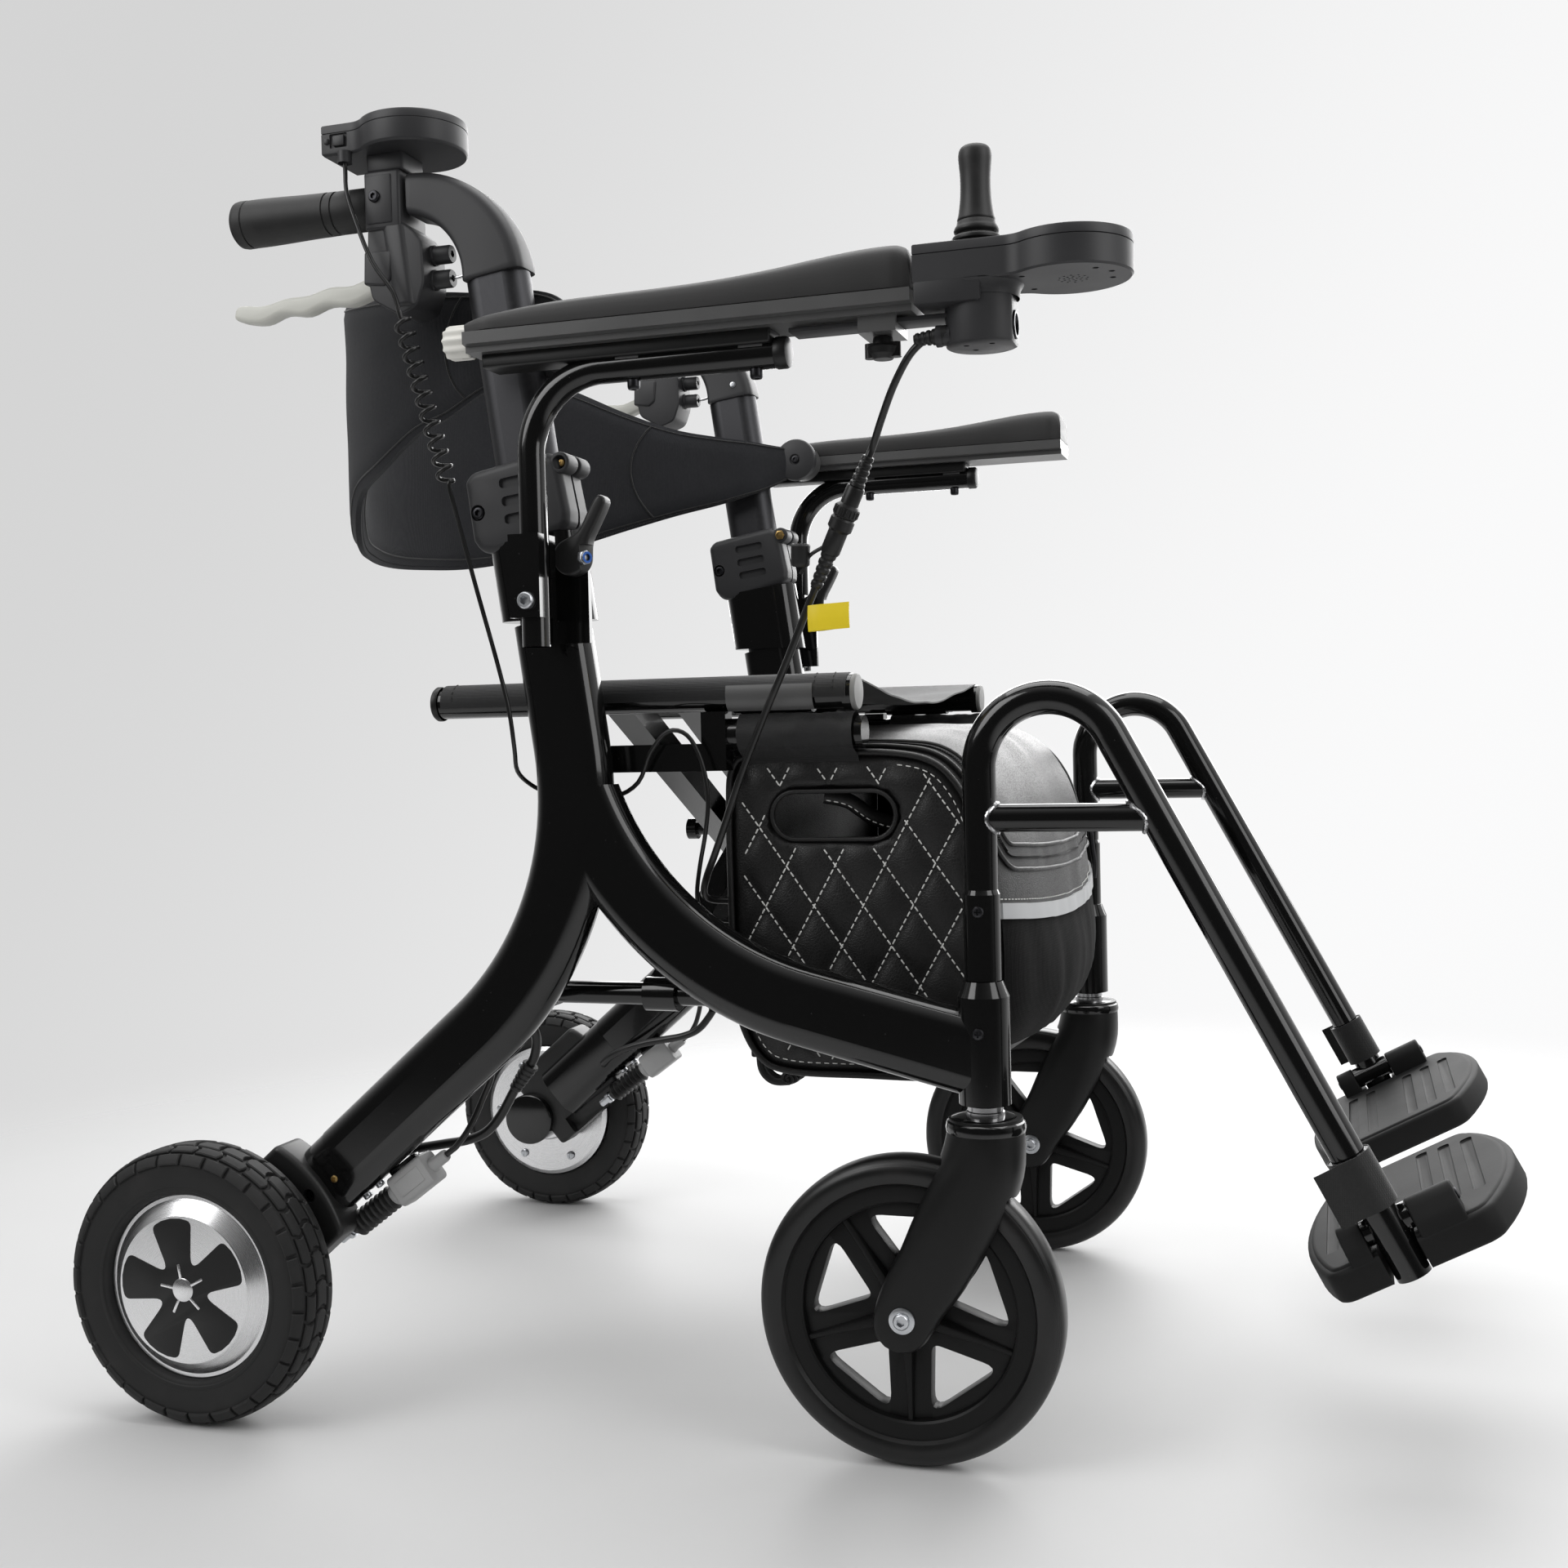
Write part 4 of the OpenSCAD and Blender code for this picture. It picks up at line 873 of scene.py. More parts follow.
def fork():
    """A moulded fork: a round neck that flattens into two blades down to the axle."""
    spine = [
        (CASTOR_X, 232, 24, 24, 2.0), (CASTOR_X, 226, 25, 25, 2.0), (CASTOR_X - 0.5, 216, 26, 26, 2.1),
        (CASTOR_X - 3, 200, 27.5, 26.5, 2.5), (CASTOR_X - 11, 180, 28, 26.5, 3.2),
        (CASTOR_X - 22, 158, 27, 26.5, 4), (CASTOR_X - 33, 136, 25, 26.3, 5), (FRONT_X + 8, 118, 23, 26, 6),
        (FRONT_X, FRONT_R, 21, 26, 7), (FRONT_X - 4.5, 92, 18.5, 26, 7), (FRONT_X - 7, 86, 14, 25.6, 7),
        (FRONT_X - 8.4, 82.6, 6, 25, 7)
    ]
    line = curve([(x, 0, z) for x, z, *_ in spine], 3)
    sizes = curve([(a, b, n) for _, _, a, b, n in spine], 3)
    count = 48
    rings = []
    for i, p in enumerate(line):
        way = (line[min(i + 1, len(line) - 1)] - line[max(i - 1, 0)]).normalized()
        across = Vector((way.z, 0, -way.x))
        half, deep, power = sizes[i]
        ring = []
        for k in range(count):
            a = math.tau * k / count
            c, s = math.cos(a), math.sin(a)
            u = math.copysign(abs(c) ** (2 / power), c) * half
            v = math.copysign(abs(s) ** (2 / power), s) * deep
            ring.append(p + across * u + Vector((0, v, 0)))
        rings.append(ring)
    well = lathe([
        (0, -FORK_IN), (FRONT_R + 2.5, -FORK_IN), (FRONT_R + 5.5, -FORK_IN + 3), (FRONT_R + 5.5, FORK_IN - 3),
        (FRONT_R + 2.5, FORK_IN), (0, FORK_IN)
    ], 96)
    return cut(loft(rings), well.moved(aim((FRONT_X, 0, FRONT_R), OUT))).at(0, -FRAME_Y, 0)


pair("castor_tread", front_tyre().moved(front_axle), FRONT_TYRE, "front_wheel", 30, "front_tyre")
pair(
    "castor_rim", front_rim().moved(front_axle), RIM_PLASTIC, "front_wheel", 30, "front_rim"
)
pair("castor_fork", fork(), FORK_PLASTIC, "castor", 40, "fork")
collar = lathe(
    [(24, 221.5), (25.6, 223), (26.2, 226), (25.4, 229.4), (22.6, 231.8), (18, 232.6), (10, 232.8)], 64
)
pair("fork_collar", collar.at(CASTOR_X, -FRAME_Y, 0), PAINT, "castor")
stem = lathe([(12.5, 232), (12.5, 236), (11.6, 236.6), (11.6, 239.6), (10, 240.4), (8, 240.5)], 48)
pair("castor_stem", stem.at(CASTOR_X, -FRAME_Y, 0), STEEL, "castor")
axle_bolts = []
for way in (1, -1):
    place = (FRONT_X, -FRAME_Y - way * 26, FRONT_R)
    axle_bolts.append((lathe([(8.6, 0), (8.6, 1.2), (7.6, 1.6), (5, 1.6)], 32), place, (0, -way, 0)))
    axle_bolts.append((socket_screw(11, 4.6), place, (0, -way, 0)))
fasten("axle_bolts", axle_bolts, ZINC, "castor")


# Cords


def span(line):
    return sum((b - a).length for a, b in zip(line, line[1:]))


def lead(
    name, line, diameter, bodies, stands_for, sides=12, along=None
):
    """A cord along a line, attached to its body when it has only one; with along, its placement is baked into
    its mesh.
    """
    body = bodies[0] if len(bodies) == 1 else None
    made = piece(name, tube(line, diameter / 2, sides), CORD, body, 60, stands_for)
    if along:
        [spot(*p) for p in along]
        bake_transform(made)
    path = [tuple(spot(*p)) for p in line]
    span(line) * MM


def lead_pair(name, route, steps, diameter, node=None, sides=12):
    """The same cord on the right frame and, mirrored, on the left one."""
    for side in SIDES:
        line = curve(on_side(Shape(route), side).points, steps)
        stands_for = (f"{side}_{node}",) if node else ()
        lead(f"{side}_{name}", line, diameter, (f"frame_{side}",), stands_for, sides)


# Joystick cord with its screwed connector, from the joystick's pod down to the battery

PLUG_TOP, PLUG_END = Vector((503, -277, 659)), Vector((461, -262, 578))
PLUG_WAY = (PLUG_END - PLUG_TOP).normalized()
PLUG_LEN = (PLUG_END - PLUG_TOP).length

upper = curve([
    (556.3, -310, 723), (549, -310, 722), (538, -307, 714), (526, -300, 698), (515, -289, 680),
    PLUG_TOP - PLUG_WAY * 8, PLUG_TOP + PLUG_WAY * 1
], 10)
lower = curve([
    PLUG_END - PLUG_WAY * 1, PLUG_END + PLUG_WAY * 10, (438, -254, 532), (421, -248, 500), (402, -244, 460),
    (387, -240, 424), (377, -235.5, 402), (368, -228, 386), (362, -218, 375), (361, -208.5, 369.5),
    (365.5, -202.6, 367.4), (372, -201, 367), (379.3, -201, 367)
], 10)


def ribbed(length, start, end, ribs, groove=0.8):
    """A strain relief: rings that get thinner along it."""
    profile = [(0, 0)]
    for k in range(ribs):
        for t, dip in ((0.04, 0.5), (0.16, 0), (0.6, 0), (0.72, 0.5), (0.76, 1), (0.96, 1)):
            s = (k + t) / ribs
            profile.append((start + (end - start) * s - groove * dip, length * s))
    return profile + [(end - groove, length), (0, length)]


def plug_half():
    shape = lathe(ribbed(22, 3.9, 5.3, 5, 0.7), 24)
    shape.add(lathe([
        (0, 21), (5.6, 21), (6.1, 22), (6.1, 33), (7.2, 34), (8.1, 35), (8.1, 41), (7.4, 42), (0, 42)
    ], 32))
    for k in range(18):
        turn = Matrix.Rotation(math.tau * k / 18, 4, "Z")
        shape.add(soften(box((7.6, -0.6, 35.5), (8.6, 0.6, 40.5)), 0.3, 40, 1).moved(turn))
    return shape.moved(aim(PLUG_TOP, PLUG_WAY))


def socket_half():
    shape = lathe([
        (0, 42.3), (7.4, 42.3), (8.2, 43.5), (8.2, 50), (7.2, 51), (6.5, 52), (6.5, 66), (5.8, 67.5),
        (0, 67.5)
    ], 32)
    shape.add(lathe(ribbed(PLUG_LEN - 67, 5.4, 4.0, 5, 0.7), 24).at(0, 0, 67))
    return shape.moved(aim(PLUG_TOP, PLUG_WAY))


def cable_cap():
    """The connector's dust cap, hanging open on its strap."""
    side = PLUG_WAY.cross(Vector((0, 1, 0))).normalized()
    root = PLUG_TOP + PLUG_WAY * 66
    strap = curve([root + side * -6, root + PLUG_WAY * 9 + side * -12, root + PLUG_WAY * 22 + side * -13], 8)
    shape = tube(strap, 1.3, 8)
    cap = lathe([(0, 0), (5, 0.3), (6.1, 1.4), (6.4, 3), (6.4, 14), (5.6, 15), (5, 15), (5, 6), (0, 6)], 24)
    return shape.add(cap.moved(aim(strap[-1] - PLUG_WAY * 4 - side * 2, PLUG_WAY * -1 - side * 0.4)))


plug = piece("cord_plug", plug_half(), DARK_PLASTIC, "right_arm", 30, ("cord_connector",))
socket = piece(
    "cord_socket", socket_half(), DARK_PLASTIC, "right_arm", 30, ("cord_connector",)
)
piece("socket_cap", cable_cap(), BOOT, "right_arm")
lead(
    "joystick_lead", upper, 5, ("joystick", "right_arm"), ("joystick_cord",),
    along=(upper[0], upper[-1])
)
lead(
    "battery_lead", lower[::-1], 5, ("frame_right", "right_arm"), ("joystick_cord",),
    along=(lower[-1], lower[0])
)
relief = lathe([(0, -7), (6.2, -7), (6.4, -1), (5.4, 0)] + ribbed(14, 5.2, 3.6, 4, 0.7)[1:], 24)
piece("joystick_gland", relief.moved(aim(upper[1], upper[8] - upper[1])), BOOT, "joystick")


def flag():
    """A bare folded label round the cord."""
    section = [
        (-6, -1.5), (-2, -3.4), (3, -3.6), (12, -2.2), (22, -1.6), (22, -1.0), (12, -1.4), (3, 3.2), (-2, 3.6),
        (-6, 1.5)
    ]
    middle = PLUG_END + Vector((2, -2, -20))
    rings = []
    for s in range(9):
        t = s / 8
        lift = 1.8 * math.sin(math.pi * t)
        rings.append([
            middle + Vector((x, -1.2 + w - lift * 0.6, 9 - 17 * t + 0.05 * x)) for x, w in section
        ])
    return loft(rings)


piece("cord_label", flag(), TAG, "right_arm")

# Curled controller cord, from the rear controller down the post to the battery

COIL_R = 5.4
COIL_TOP, COIL_END = Vector((170, -276, 782)), Vector((203, -274, 658))
coil_way = (COIL_END - COIL_TOP).normalized()
coil_side = coil_way.orthogonal().normalized()
coil_turn = coil_way.cross(coil_side)
COIL_STEPS = 96
coil = []
for i in range(2, COIL_STEPS - 1):
    angle = math.radians(45 * i)
    radius = COIL_R * min(1, i / 5, (COIL_STEPS - i) / 5)
    coil.append(
        COIL_TOP + (COIL_END - COIL_TOP) * (i / COIL_STEPS)
        + (coil_side * math.cos(angle) + coil_turn * math.sin(angle)) * radius
    )
curl_line = curve([
    (128, -272, 889.8), (128, -272, 884), (130, -274, 868), (138, -276, 846), (150, -277, 818),
    (165, -276, 796), *coil, COIL_END + coil_way * 8, (211, -274, 628), (222, -273, 585), (234, -272, 540),
    (242, -271, 505), (243, -266, 478),
    (238, -252, 462), (240, -236, 452), (250, -229, 446), (272, -228.6, 442), (300, -228.8, 442),
    (320, -231, 452), (332, -236, 473), (346, -238, 487), (360, -238, 484), (370, -238, 466),
    (374, -238, 442), (371, -236, 418), (364, -230, 394), (358, -221, 374), (356, -210, 361),
    (361, -201, 354), (379.4, -198, 352)
], 4)
lead(
    "curled_lead", curl_line[::-1], 3.2, ("frame_right", "right_handle"), ("controller_cord",), 10,
    along=(COIL_END, COIL_TOP)
)

# Motor leads from the legs to the wheel motors

MOTOR = [
    (230, -233.5, 287), (233, -229, 278), (234, -225.5, 268), (231, -223.4, 256), (226, -223, 248),
    (214, -222, 231), (202, -221, 212), (190, -221, 199), (174, -221, 192), (154, -221, 188),
    (134, -221, 184), (114, -221, 178), (98, -222, 170), (88, -226, 162), (86, -230.4, 160)
]
lead_pair("wheel_lead", MOTOR, 8, 7, "motor_lead", 16)
gland = lathe(ribbed(24, 6.2, 4.4, 6, 0.9), 24).moved(aim((228, -223, 250), (-14, 0.6, -19)))
pair("lead_gland", gland, BOOT, "frame")


# Seat bag: quilted leather sides, a leather shell with a zipped lid, and sleeves on the lower rails

# How far the rails and the bag's sides stand from the chair's middle
RAIL_Y = 215.0
BAG_Y = 210.0

BAG = [
    Vector((p.x, p.z)) for p in curve([
        (380, 0, 320), (384, 0, 284), (398, 0, 258), (420, 0, 249), (470, 0, 248), (528, 0, 249),
        (552, 0, 262), (563, 0, 290), (566, 0, 330), (563, 0, 372), (556, 0, 412), (546, 0, 440),
        (528, 0, 461), (500, 0, 469), (450, 0, 470.5), (398, 0, 470), (382, 0, 460), (379, 0, 430),
        (379, 0, 375)
    ], 8, True)
]
BAG_MARKS = [0.0]
for p, q in zip(BAG, BAG[1:] + BAG[:1]):
    BAG_MARKS.append(BAG_MARKS[-1] + (q - p).length)


def bag_at(s):
    """The bag's outline and its outward direction, s millimetres along it."""
    s %= BAG_MARKS[-1]
    i = max(k for k in range(len(BAG)) if BAG_MARKS[k] <= s)
    p, q = BAG[i], BAG[(i + 1) % len(BAG)]
    way = (q - p).normalized()
    return p + way * (s - BAG_MARKS[i]), Vector((way.y, -way.x))


def bag_mark(x, z):
    """How far along the outline the place nearest to (x, z) is."""
    return BAG_MARKS[min(range(len(BAG)), key=lambda i: (BAG[i] - Vector((x, z))).length)]


LID_REAR, LID_FRONT, FRONT_LOW = bag_mark(400, 470), bag_mark(559, 396), bag_mark(552, 262)


def dome(s):
    """How far the shell bulges in the middle, at s along the outline."""
    lid = step(s, LID_FRONT + 20, LID_FRONT + 90) * (1 - step(s, LID_REAR - 40, LID_REAR + 20))
    front = step(s, FRONT_LOW - 50, FRONT_LOW + 40) * (1 - step(s, LID_FRONT + 20, LID_FRONT + 110))
    return 1.5 + 16 * lid + 23 * front


def on_shell(s, y, lift=0.0):
    """A point on the shell, with its wrinkles."""
    p, out = bag_at(s)
    across = max(0.0, 1 - (y / BAG_Y) ** 2)
    fold = noise.noise(Vector((s / 75, y / 24, 3.1))) * 2.2 + noise.noise(Vector((s / 30, y / 40, 9.7))) * 1.1
    swell = dome(s) * across**0.7 + fold * across * min(1, dome(s) / 6) + lift
    q = p + out * swell
    return Vector((q.x, y, q.y))


def distance_to(point, line):
    """Distance from a point to a closed line in (x, z)."""
    best = 1e9
    for a, b in zip(line, line[1:] + line[:1]):
        way = b - a
        t = min(1, max(0, (point - a).dot(way) / way.length_squared))
        best = min(best, (point - a - way * t).length)
    return best


def inside(point, line):
    """Whether a point lies within a closed line in (x, z)."""
    hit = False
    for a, b in zip(line, line[1:] + line[:1]):
        if (a.y > point.y) != (b.y > point.y) and point.x < a.x + (point.y - a.y) / (b.y - a.y) * (b.x - a.x):
            hit = not hit
    return hit


SLOT = [
    Vector((455 + way * (44 - 16.5) + 16.5 * math.cos(a), 427 + 16.5 * math.sin(a)))
    for way, start in ((1, -90), (-1, 90)) for a in (math.radians(start + 180 * k / 14) for k in range(15))
]
QUILT_AT = Vector((487.1, 448.9))
QUILT_A, QUILT_B = Vector((19.3, -27.5)), Vector((-15.8, -28.2))
QUILT_DET = QUILT_A.x * QUILT_B.y - QUILT_A.y * QUILT_B.x
PUFF = 3.6


def quilt(point):
    """The place in the diamond lattice; threads run where either number is whole."""
    d = point - QUILT_AT
    return (
        (d.x * QUILT_B.y - d.y * QUILT_B.x) / QUILT_DET,
        (QUILT_A.x * d.y - QUILT_A.y * d.x) / QUILT_DET,
    )


def panel_height(point):
    """How far the quilted side stands out at a place in (x, z)."""
    edge, hole = distance_to(point, BAG), distance_to(point, SLOT)
    a, b = quilt(point)
    cushion = (abs(math.sin(math.pi * a)) * abs(math.sin(math.pi * b))) ** 0.55
    height = PUFF * cushion * step(edge, 5, 20) * step(hole, 2, 11)
    height += 1.0 * step(hole, 0, 3) * (1 - step(hole, 3, 9))
    return height - 6 * max(0, 1 - edge / 8) ** 2 - 6 * max(0, 1 - hole / 4) ** 2


def side_panel():
    """The quilted side: a net that follows the diamonds, bounded by the outline and the grip slot."""
    grid = []
    for i in range(-60, 90):
        for j in range(-40, 100):
            p = QUILT_AT + QUILT_A * (i / 7) + QUILT_B * (j / 7)
            if not (378 < p.x < 567 and 247 < p.y < 471):
                continue
            clear = distance_to(p, BAG) > 2 and distance_to(p, SLOT) > 1.6
            if clear and inside(p, BAG) and not inside(p, SLOT):
                grid.append(p)
    verts = BAG + SLOT + grid
    n, m = len(BAG), len(SLOT)
    edges = [(i, (i + 1) % n) for i in range(n)] + [(n + i, n + (i + 1) % m) for i in range(m)]
    flat, _, faces, *_ = geometry.delaunay_2d_cdt(verts, edges, [], 4, 1e-4)
    points = [(p.x, -BAG_Y - panel_height(p), p.y) for p in flat]
    kept = [f for f in faces if not inside(sum((flat[i] for i in f), Vector((0, 0))) / len(f), SLOT)]
    return Shape(points, kept)


def quilt_threads():
    """White stitches along the diamond lines."""
    shape = Shape()
    for way, other in ((QUILT_A, QUILT_B), (QUILT_B, QUILT_A)):
        for k in range(-9, 14):
            run = []
            for t in range(-200, 260):
                p = QUILT_AT + way * k + other * (t / 18)
                keep = inside(p, BAG) and not inside(p, SLOT)
                if keep and distance_to(p, BAG) > 9 and distance_to(p, SLOT) > 4.5:
                    run.append(Vector((p.x, -BAG_Y - panel_height(p) - 0.25, p.y)))
                elif run:
                    shape.add(stitches(run, 3.9, 1.5, 0.6))
                    run = []
    return shape


def along_outline(first, last, y, inset=0.0, gap=4.0):
    """A line on the outline between two marks, moved inward by inset."""
    count = max(2, int((last - first) / gap))
    line = []
    for k in range(count + 1):
        p, out = bag_at(first + (last - first) * k / count)
        q = p - out * inset
        line.append(Vector((q.x, y, q.y)))
    return line


def flatten(made, anchor=-RAIL_Y):
    """Gives the piece a mesh of its own."""
    spot(0, anchor, 0)
    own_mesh(made)
    return made


bag_length = BAG_MARKS[-1]
panel, threads = side_panel(), quilt_threads()
edge_line = along_outline(0, bag_length, -BAG_Y - 0.6, 0.4, 4.0)[:-1]
piping = piped(edge_line, 2.3)
border = Shape()
for line in (
    along_outline(bag_mark(540, 254), bag_mark(498, 469), 0, 8, 2.0),
    along_outline(bag_mark(384, 284), bag_mark(520, 248), 0, 8, 2.0),
):
    run = [Vector((p.x, -BAG_Y - panel_height(Vector((p.x, p.z))) - 0.25, p.z)) for p in line]
    border.add(stitches(run, 3.6, 2.4, 0.45))
slot_line = [Vector((p.x, -BAG_Y - 0.6, p.y)) for p in SLOT]
slot_rim = piped(slot_line, 1.7)
tunnel = loft([[(p.x, y, p.y) for p in SLOT] for y in (-BAG_Y + 5, -BAG_Y - 0.5)], False)
trims = (
    ("bag_piping", piping, LEATHER),
    ("bag_stitches", Shape().add(threads, border), THREAD),
    ("bag_slot", Shape().add(slot_rim, tunnel), LEATHER),
)
for side in SIDES:
    sewn = piece(f"{side}_bag_side", on_side(panel, side), LEATHER, "frame_right", 60, ("bag",))
    for name, shape, finish in trims:
        flatten(piece(f"{side}_{name}", on_side(shape, side), finish, "frame_right", 60))
    flatten(sewn)

SHELL_STEPS = 30
shell_marks = [bag_length * k / 150 for k in range(150)]
shell = loft([
    [on_shell(s, -BAG_Y + 2 * BAG_Y * k / SHELL_STEPS) for s in shell_marks] for k in range(SHELL_STEPS + 1)
], False)
shell_piece = piece("bag_shell", shell, LEATHER, "frame_right", 80, ("bag",))
flatten(shell_piece)


def beside(path, offset):
    """The (mark, y) places of a path on the shell, moved sideways by offset."""
    made = []
    for i, (s, y) in enumerate(path):
        (s0, y0), (s1, y1) = path[max(i - 1, 0)], path[min(i + 1, len(path) - 1)]
        way = Vector((s1 - s0, y1 - y0)).normalized()
        made.append((s - way.y * offset, y + way.x * offset))
    return made


def shell_strip(path, width, lift, thick, sides):
    """A flat band on the shell along (mark, y) places."""
    lanes = [beside(path, width * (k / sides - 0.5)) for k in range(sides + 1)]
    rings = []
    for places in zip(*lanes):
        top = [on_shell(s, y, lift) for s, y in places]
        rings.append(top + [on_shell(s, y, lift - thick) for s, y in places[::-1]])
    return loft(rings)


ZIP_IN, ZIP_TURN = 16.0, 24.0


def droop(y):
    """How far the lines across the front sink in the middle."""
    return 14 * max(0, 1 - (y / BAG_Y) ** 2)


zip_path = [(LID_REAR - (LID_REAR - LID_FRONT - ZIP_TURN) * k / 60, -BAG_Y + ZIP_IN) for k in range(61)]
zip_path += [
    (LID_FRONT + ZIP_TURN - ZIP_TURN * math.sin(a), -BAG_Y + ZIP_IN + ZIP_TURN - ZIP_TURN * math.cos(a))
    for a in (math.radians(10 * k) for k in range(1, 10))
]
zip_path += [(LID_FRONT, -BAG_Y + ZIP_IN + ZIP_TURN + 4.25 * k) for k in range(1, 41)]
zip_path += [(s, -y) for s, y in zip_path[-2::-1]]
zip_path = [(s - droop(y) * (1 - step(s, LID_FRONT, LID_FRONT + 30)), y) for s, y in zip_path]
teeth_line = [on_shell(s, y, 1.2) for s, y in zip_path]
tooth = box((-1.7, -0.5, -0.6), (1.7, 0.5, 0.9))
teeth = Shape()
for a, b in zip(teeth_line, teeth_line[1:]):
    way = b - a
    steps = max(1, round(way.length / 1.7))
    for k in range(steps):
        upright = (0, 1, 0) if abs(way.y) < abs(way.z) + abs(way.x) else (1, 0, 0)
        teeth.add(tooth.moved(aim(a + way * (k / steps), upright)))
zip_tape = shell_strip(zip_path, 17, 0.8, 1.2, 4)
welts = Shape()
for offset in (-8.2, 8.2):
    welts.add(tube([on_shell(s, y, 1.2) for s, y in beside(zip_path, offset)], 1.6, 8))
flatten(piece("bag_zip_tape", zip_tape, SLEEVE_CLOTH, "frame_right", 60))
flatten(piece("bag_zip_teeth", teeth, DARK_PLASTIC, "frame_right", 30))
flatten(piece("bag_welts", welts, LEATHER, "frame_right", 60))


def zip_pull():
    """The slider at the front corner, with its cord pull hanging."""
    place = on_shell(LID_FRONT + 3, 168, 2.5)
    shape = soften(box((-4, -6, -7), (3, 6, 7)), 1.5, 40, 2).moved(Matrix.Translation(place))
    hang = curve(
        [place + Vector(p) for p in ((3, 0, 2), (6, 0, -6), (7, 1, -22), (9, 2, -40), (8, 3, -52))], 6
    )
    return shape.add(tube(hang, lambda t: 1.6 if t < 0.35 else 2.4, 8))


flatten(piece("bag_zip_pull", zip_pull(), BLACK_SCREW, "frame_right"))

# Front: reflective strip with a stitched edge over a mesh pocket

STRIP_S, POCKET_S = bag_mark(564, 364), bag_mark(565, 312) - 46
STRIP_Y = 204.0
strip_ys = [-STRIP_Y + 2 * STRIP_Y * k / 120 for k in range(121)]
flatten(piece(
    "bag_strip", shell_strip([(STRIP_S - droop(y), y) for y in strip_ys], 10.5, 2.4, 2, 3),
    REFLECTIVE, "frame_right", 60
))
seam_line = [on_shell(STRIP_S + 8 - droop(y), y, 0.4) for y in strip_ys]
flatten(piece("bag_strip_stitches", stitches(seam_line, 3.4, 2.2, 0.45), THREAD, "frame_right"))


def pocket():
    """A slack sheet of mesh from the bag's lower front up to the strip."""
    points = []
    for k in range(49):
        y = -STRIP_Y + 2 * STRIP_Y * k / 48
        slack = 5 * math.sin(math.pi * k / 48) ** 0.6
        for j in range(13):
            s = POCKET_S + (STRIP_S - 4 - droop(y) - POCKET_S) * j / 12
            points.append(on_shell(s, y, 0.8 + slack * math.sin(math.pi * min(1, 0.15 + j / 13))))
    starts = [i * 13 + j for i in range(48) for j in range(12)]
    return Shape(points, [(a, a + 1, a + 14, a + 13) for a in starts])


pocket_piece = piece("bag_pocket", pocket(), MESH_CLOTH, "frame_right", 80)
flatten(pocket_piece)

# Carrying strap inside, seen through the grip slot

strap_line = curve(
    [(446, -200, 440), (462, -196, 436), (476, -188, 425), (492, -180, 419), (520, -168, 416)], 8
)
strap = tube(strap_line, 5.5, 14)
flatten(piece("bag_handle", strap, LEATHER, "frame_right"))
flatten(piece(
    "bag_handle_stitches", stitches([p + Vector((0.6, -5.0, -2.6)) for p in strap_line], 3.2, 2, 0.4), THREAD,
    "frame_right"
))

# Sleeves that hang the bag on its rails

SLEEVE_X0, SLEEVE_X1, BAG_RAIL_Z = 392.0, 474.0, 484.0


def sleeve():
    """Creased cloth over the bag's rail, its two edges sewn to the bag below."""
    section = [(-209.5, 463), (-212, 468)]
    wrap = [around(13.2, math.radians(-52 + 14.5 * k)) for k in range(20)]
    section += [(-RAIL_Y - out, BAG_RAIL_Z + rise) for out, rise in wrap]
    section += [(-206.5, 469), (-207.5, 463)]
    rings = []
    for i in range(34):
        x = SLEEVE_X0 + (SLEEVE_X1 - SLEEVE_X0) * i / 33
        ring = []
        for y, z in section:
            crease = noise.noise(Vector((x / 13 + z / 26, z / 9, 1.7))) * 1.5
            crease += noise.noise(Vector((x / 6, z / 14 - x / 20, 5.2))) * 0.7
            out = Vector((y + RAIL_Y, z - BAG_RAIL_Z))
            out = out.normalized() * max(0, crease + 0.7)
            ring.append((x, y + out.x, z + out.y))
        rings.append(ring)
    return loft(rings, False)


for side, made in pair("bag_sleeve", sleeve(), SLEEVE_CLOTH, "frame", 80).items():
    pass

# Rolled strap under the rear edge


def strap_roll():
    """Two hanging straps with a tight roll of webbing and its keeper."""
    shape = Shape()
    for y in (-188, -176):
        line = curve([
            (390, y, 262), (391, y, 246), (398, y, 238), (408, y, 237), (417, y, 240), (420, y, 246),
            (414, y, 250)
        ], 6)
        shape.add(tube(line, 2.6, 8))
    outer, inner = (
        [
            (412 + (r - 0.28 * k) * math.cos(k * 0.55), 240 + (r - 0.28 * k) * math.sin(k * 0.55))
            for k in range(count)
        ]
        for r, count in ((7, 22), (5.6, 20))
    )
    shape.add(slab(outer + inner[::-1], -192, -172))
    shape.add(soften(box((384, -190, 254), (396, -170, 261)), 1.5, 40, 2))
    return shape


flatten(piece("bag_strap_roll", strap_roll(), HOOK_TAPE, "frame_right"))


# Seat sling

SEAT_Z = 511.0
SLING_X0, SLING_X1 = 166.0, 470.0


def over_rail(x, radius, degrees):
    """Points round the right seat rail at x; 0 degrees is outward and 90 is up."""
    turns = [math.radians(d) for d in degrees]
    return [(x, -RAIL_Y - radius * math.cos(a), SEAT_Z + radius * math.sin(a)) for a in turns]


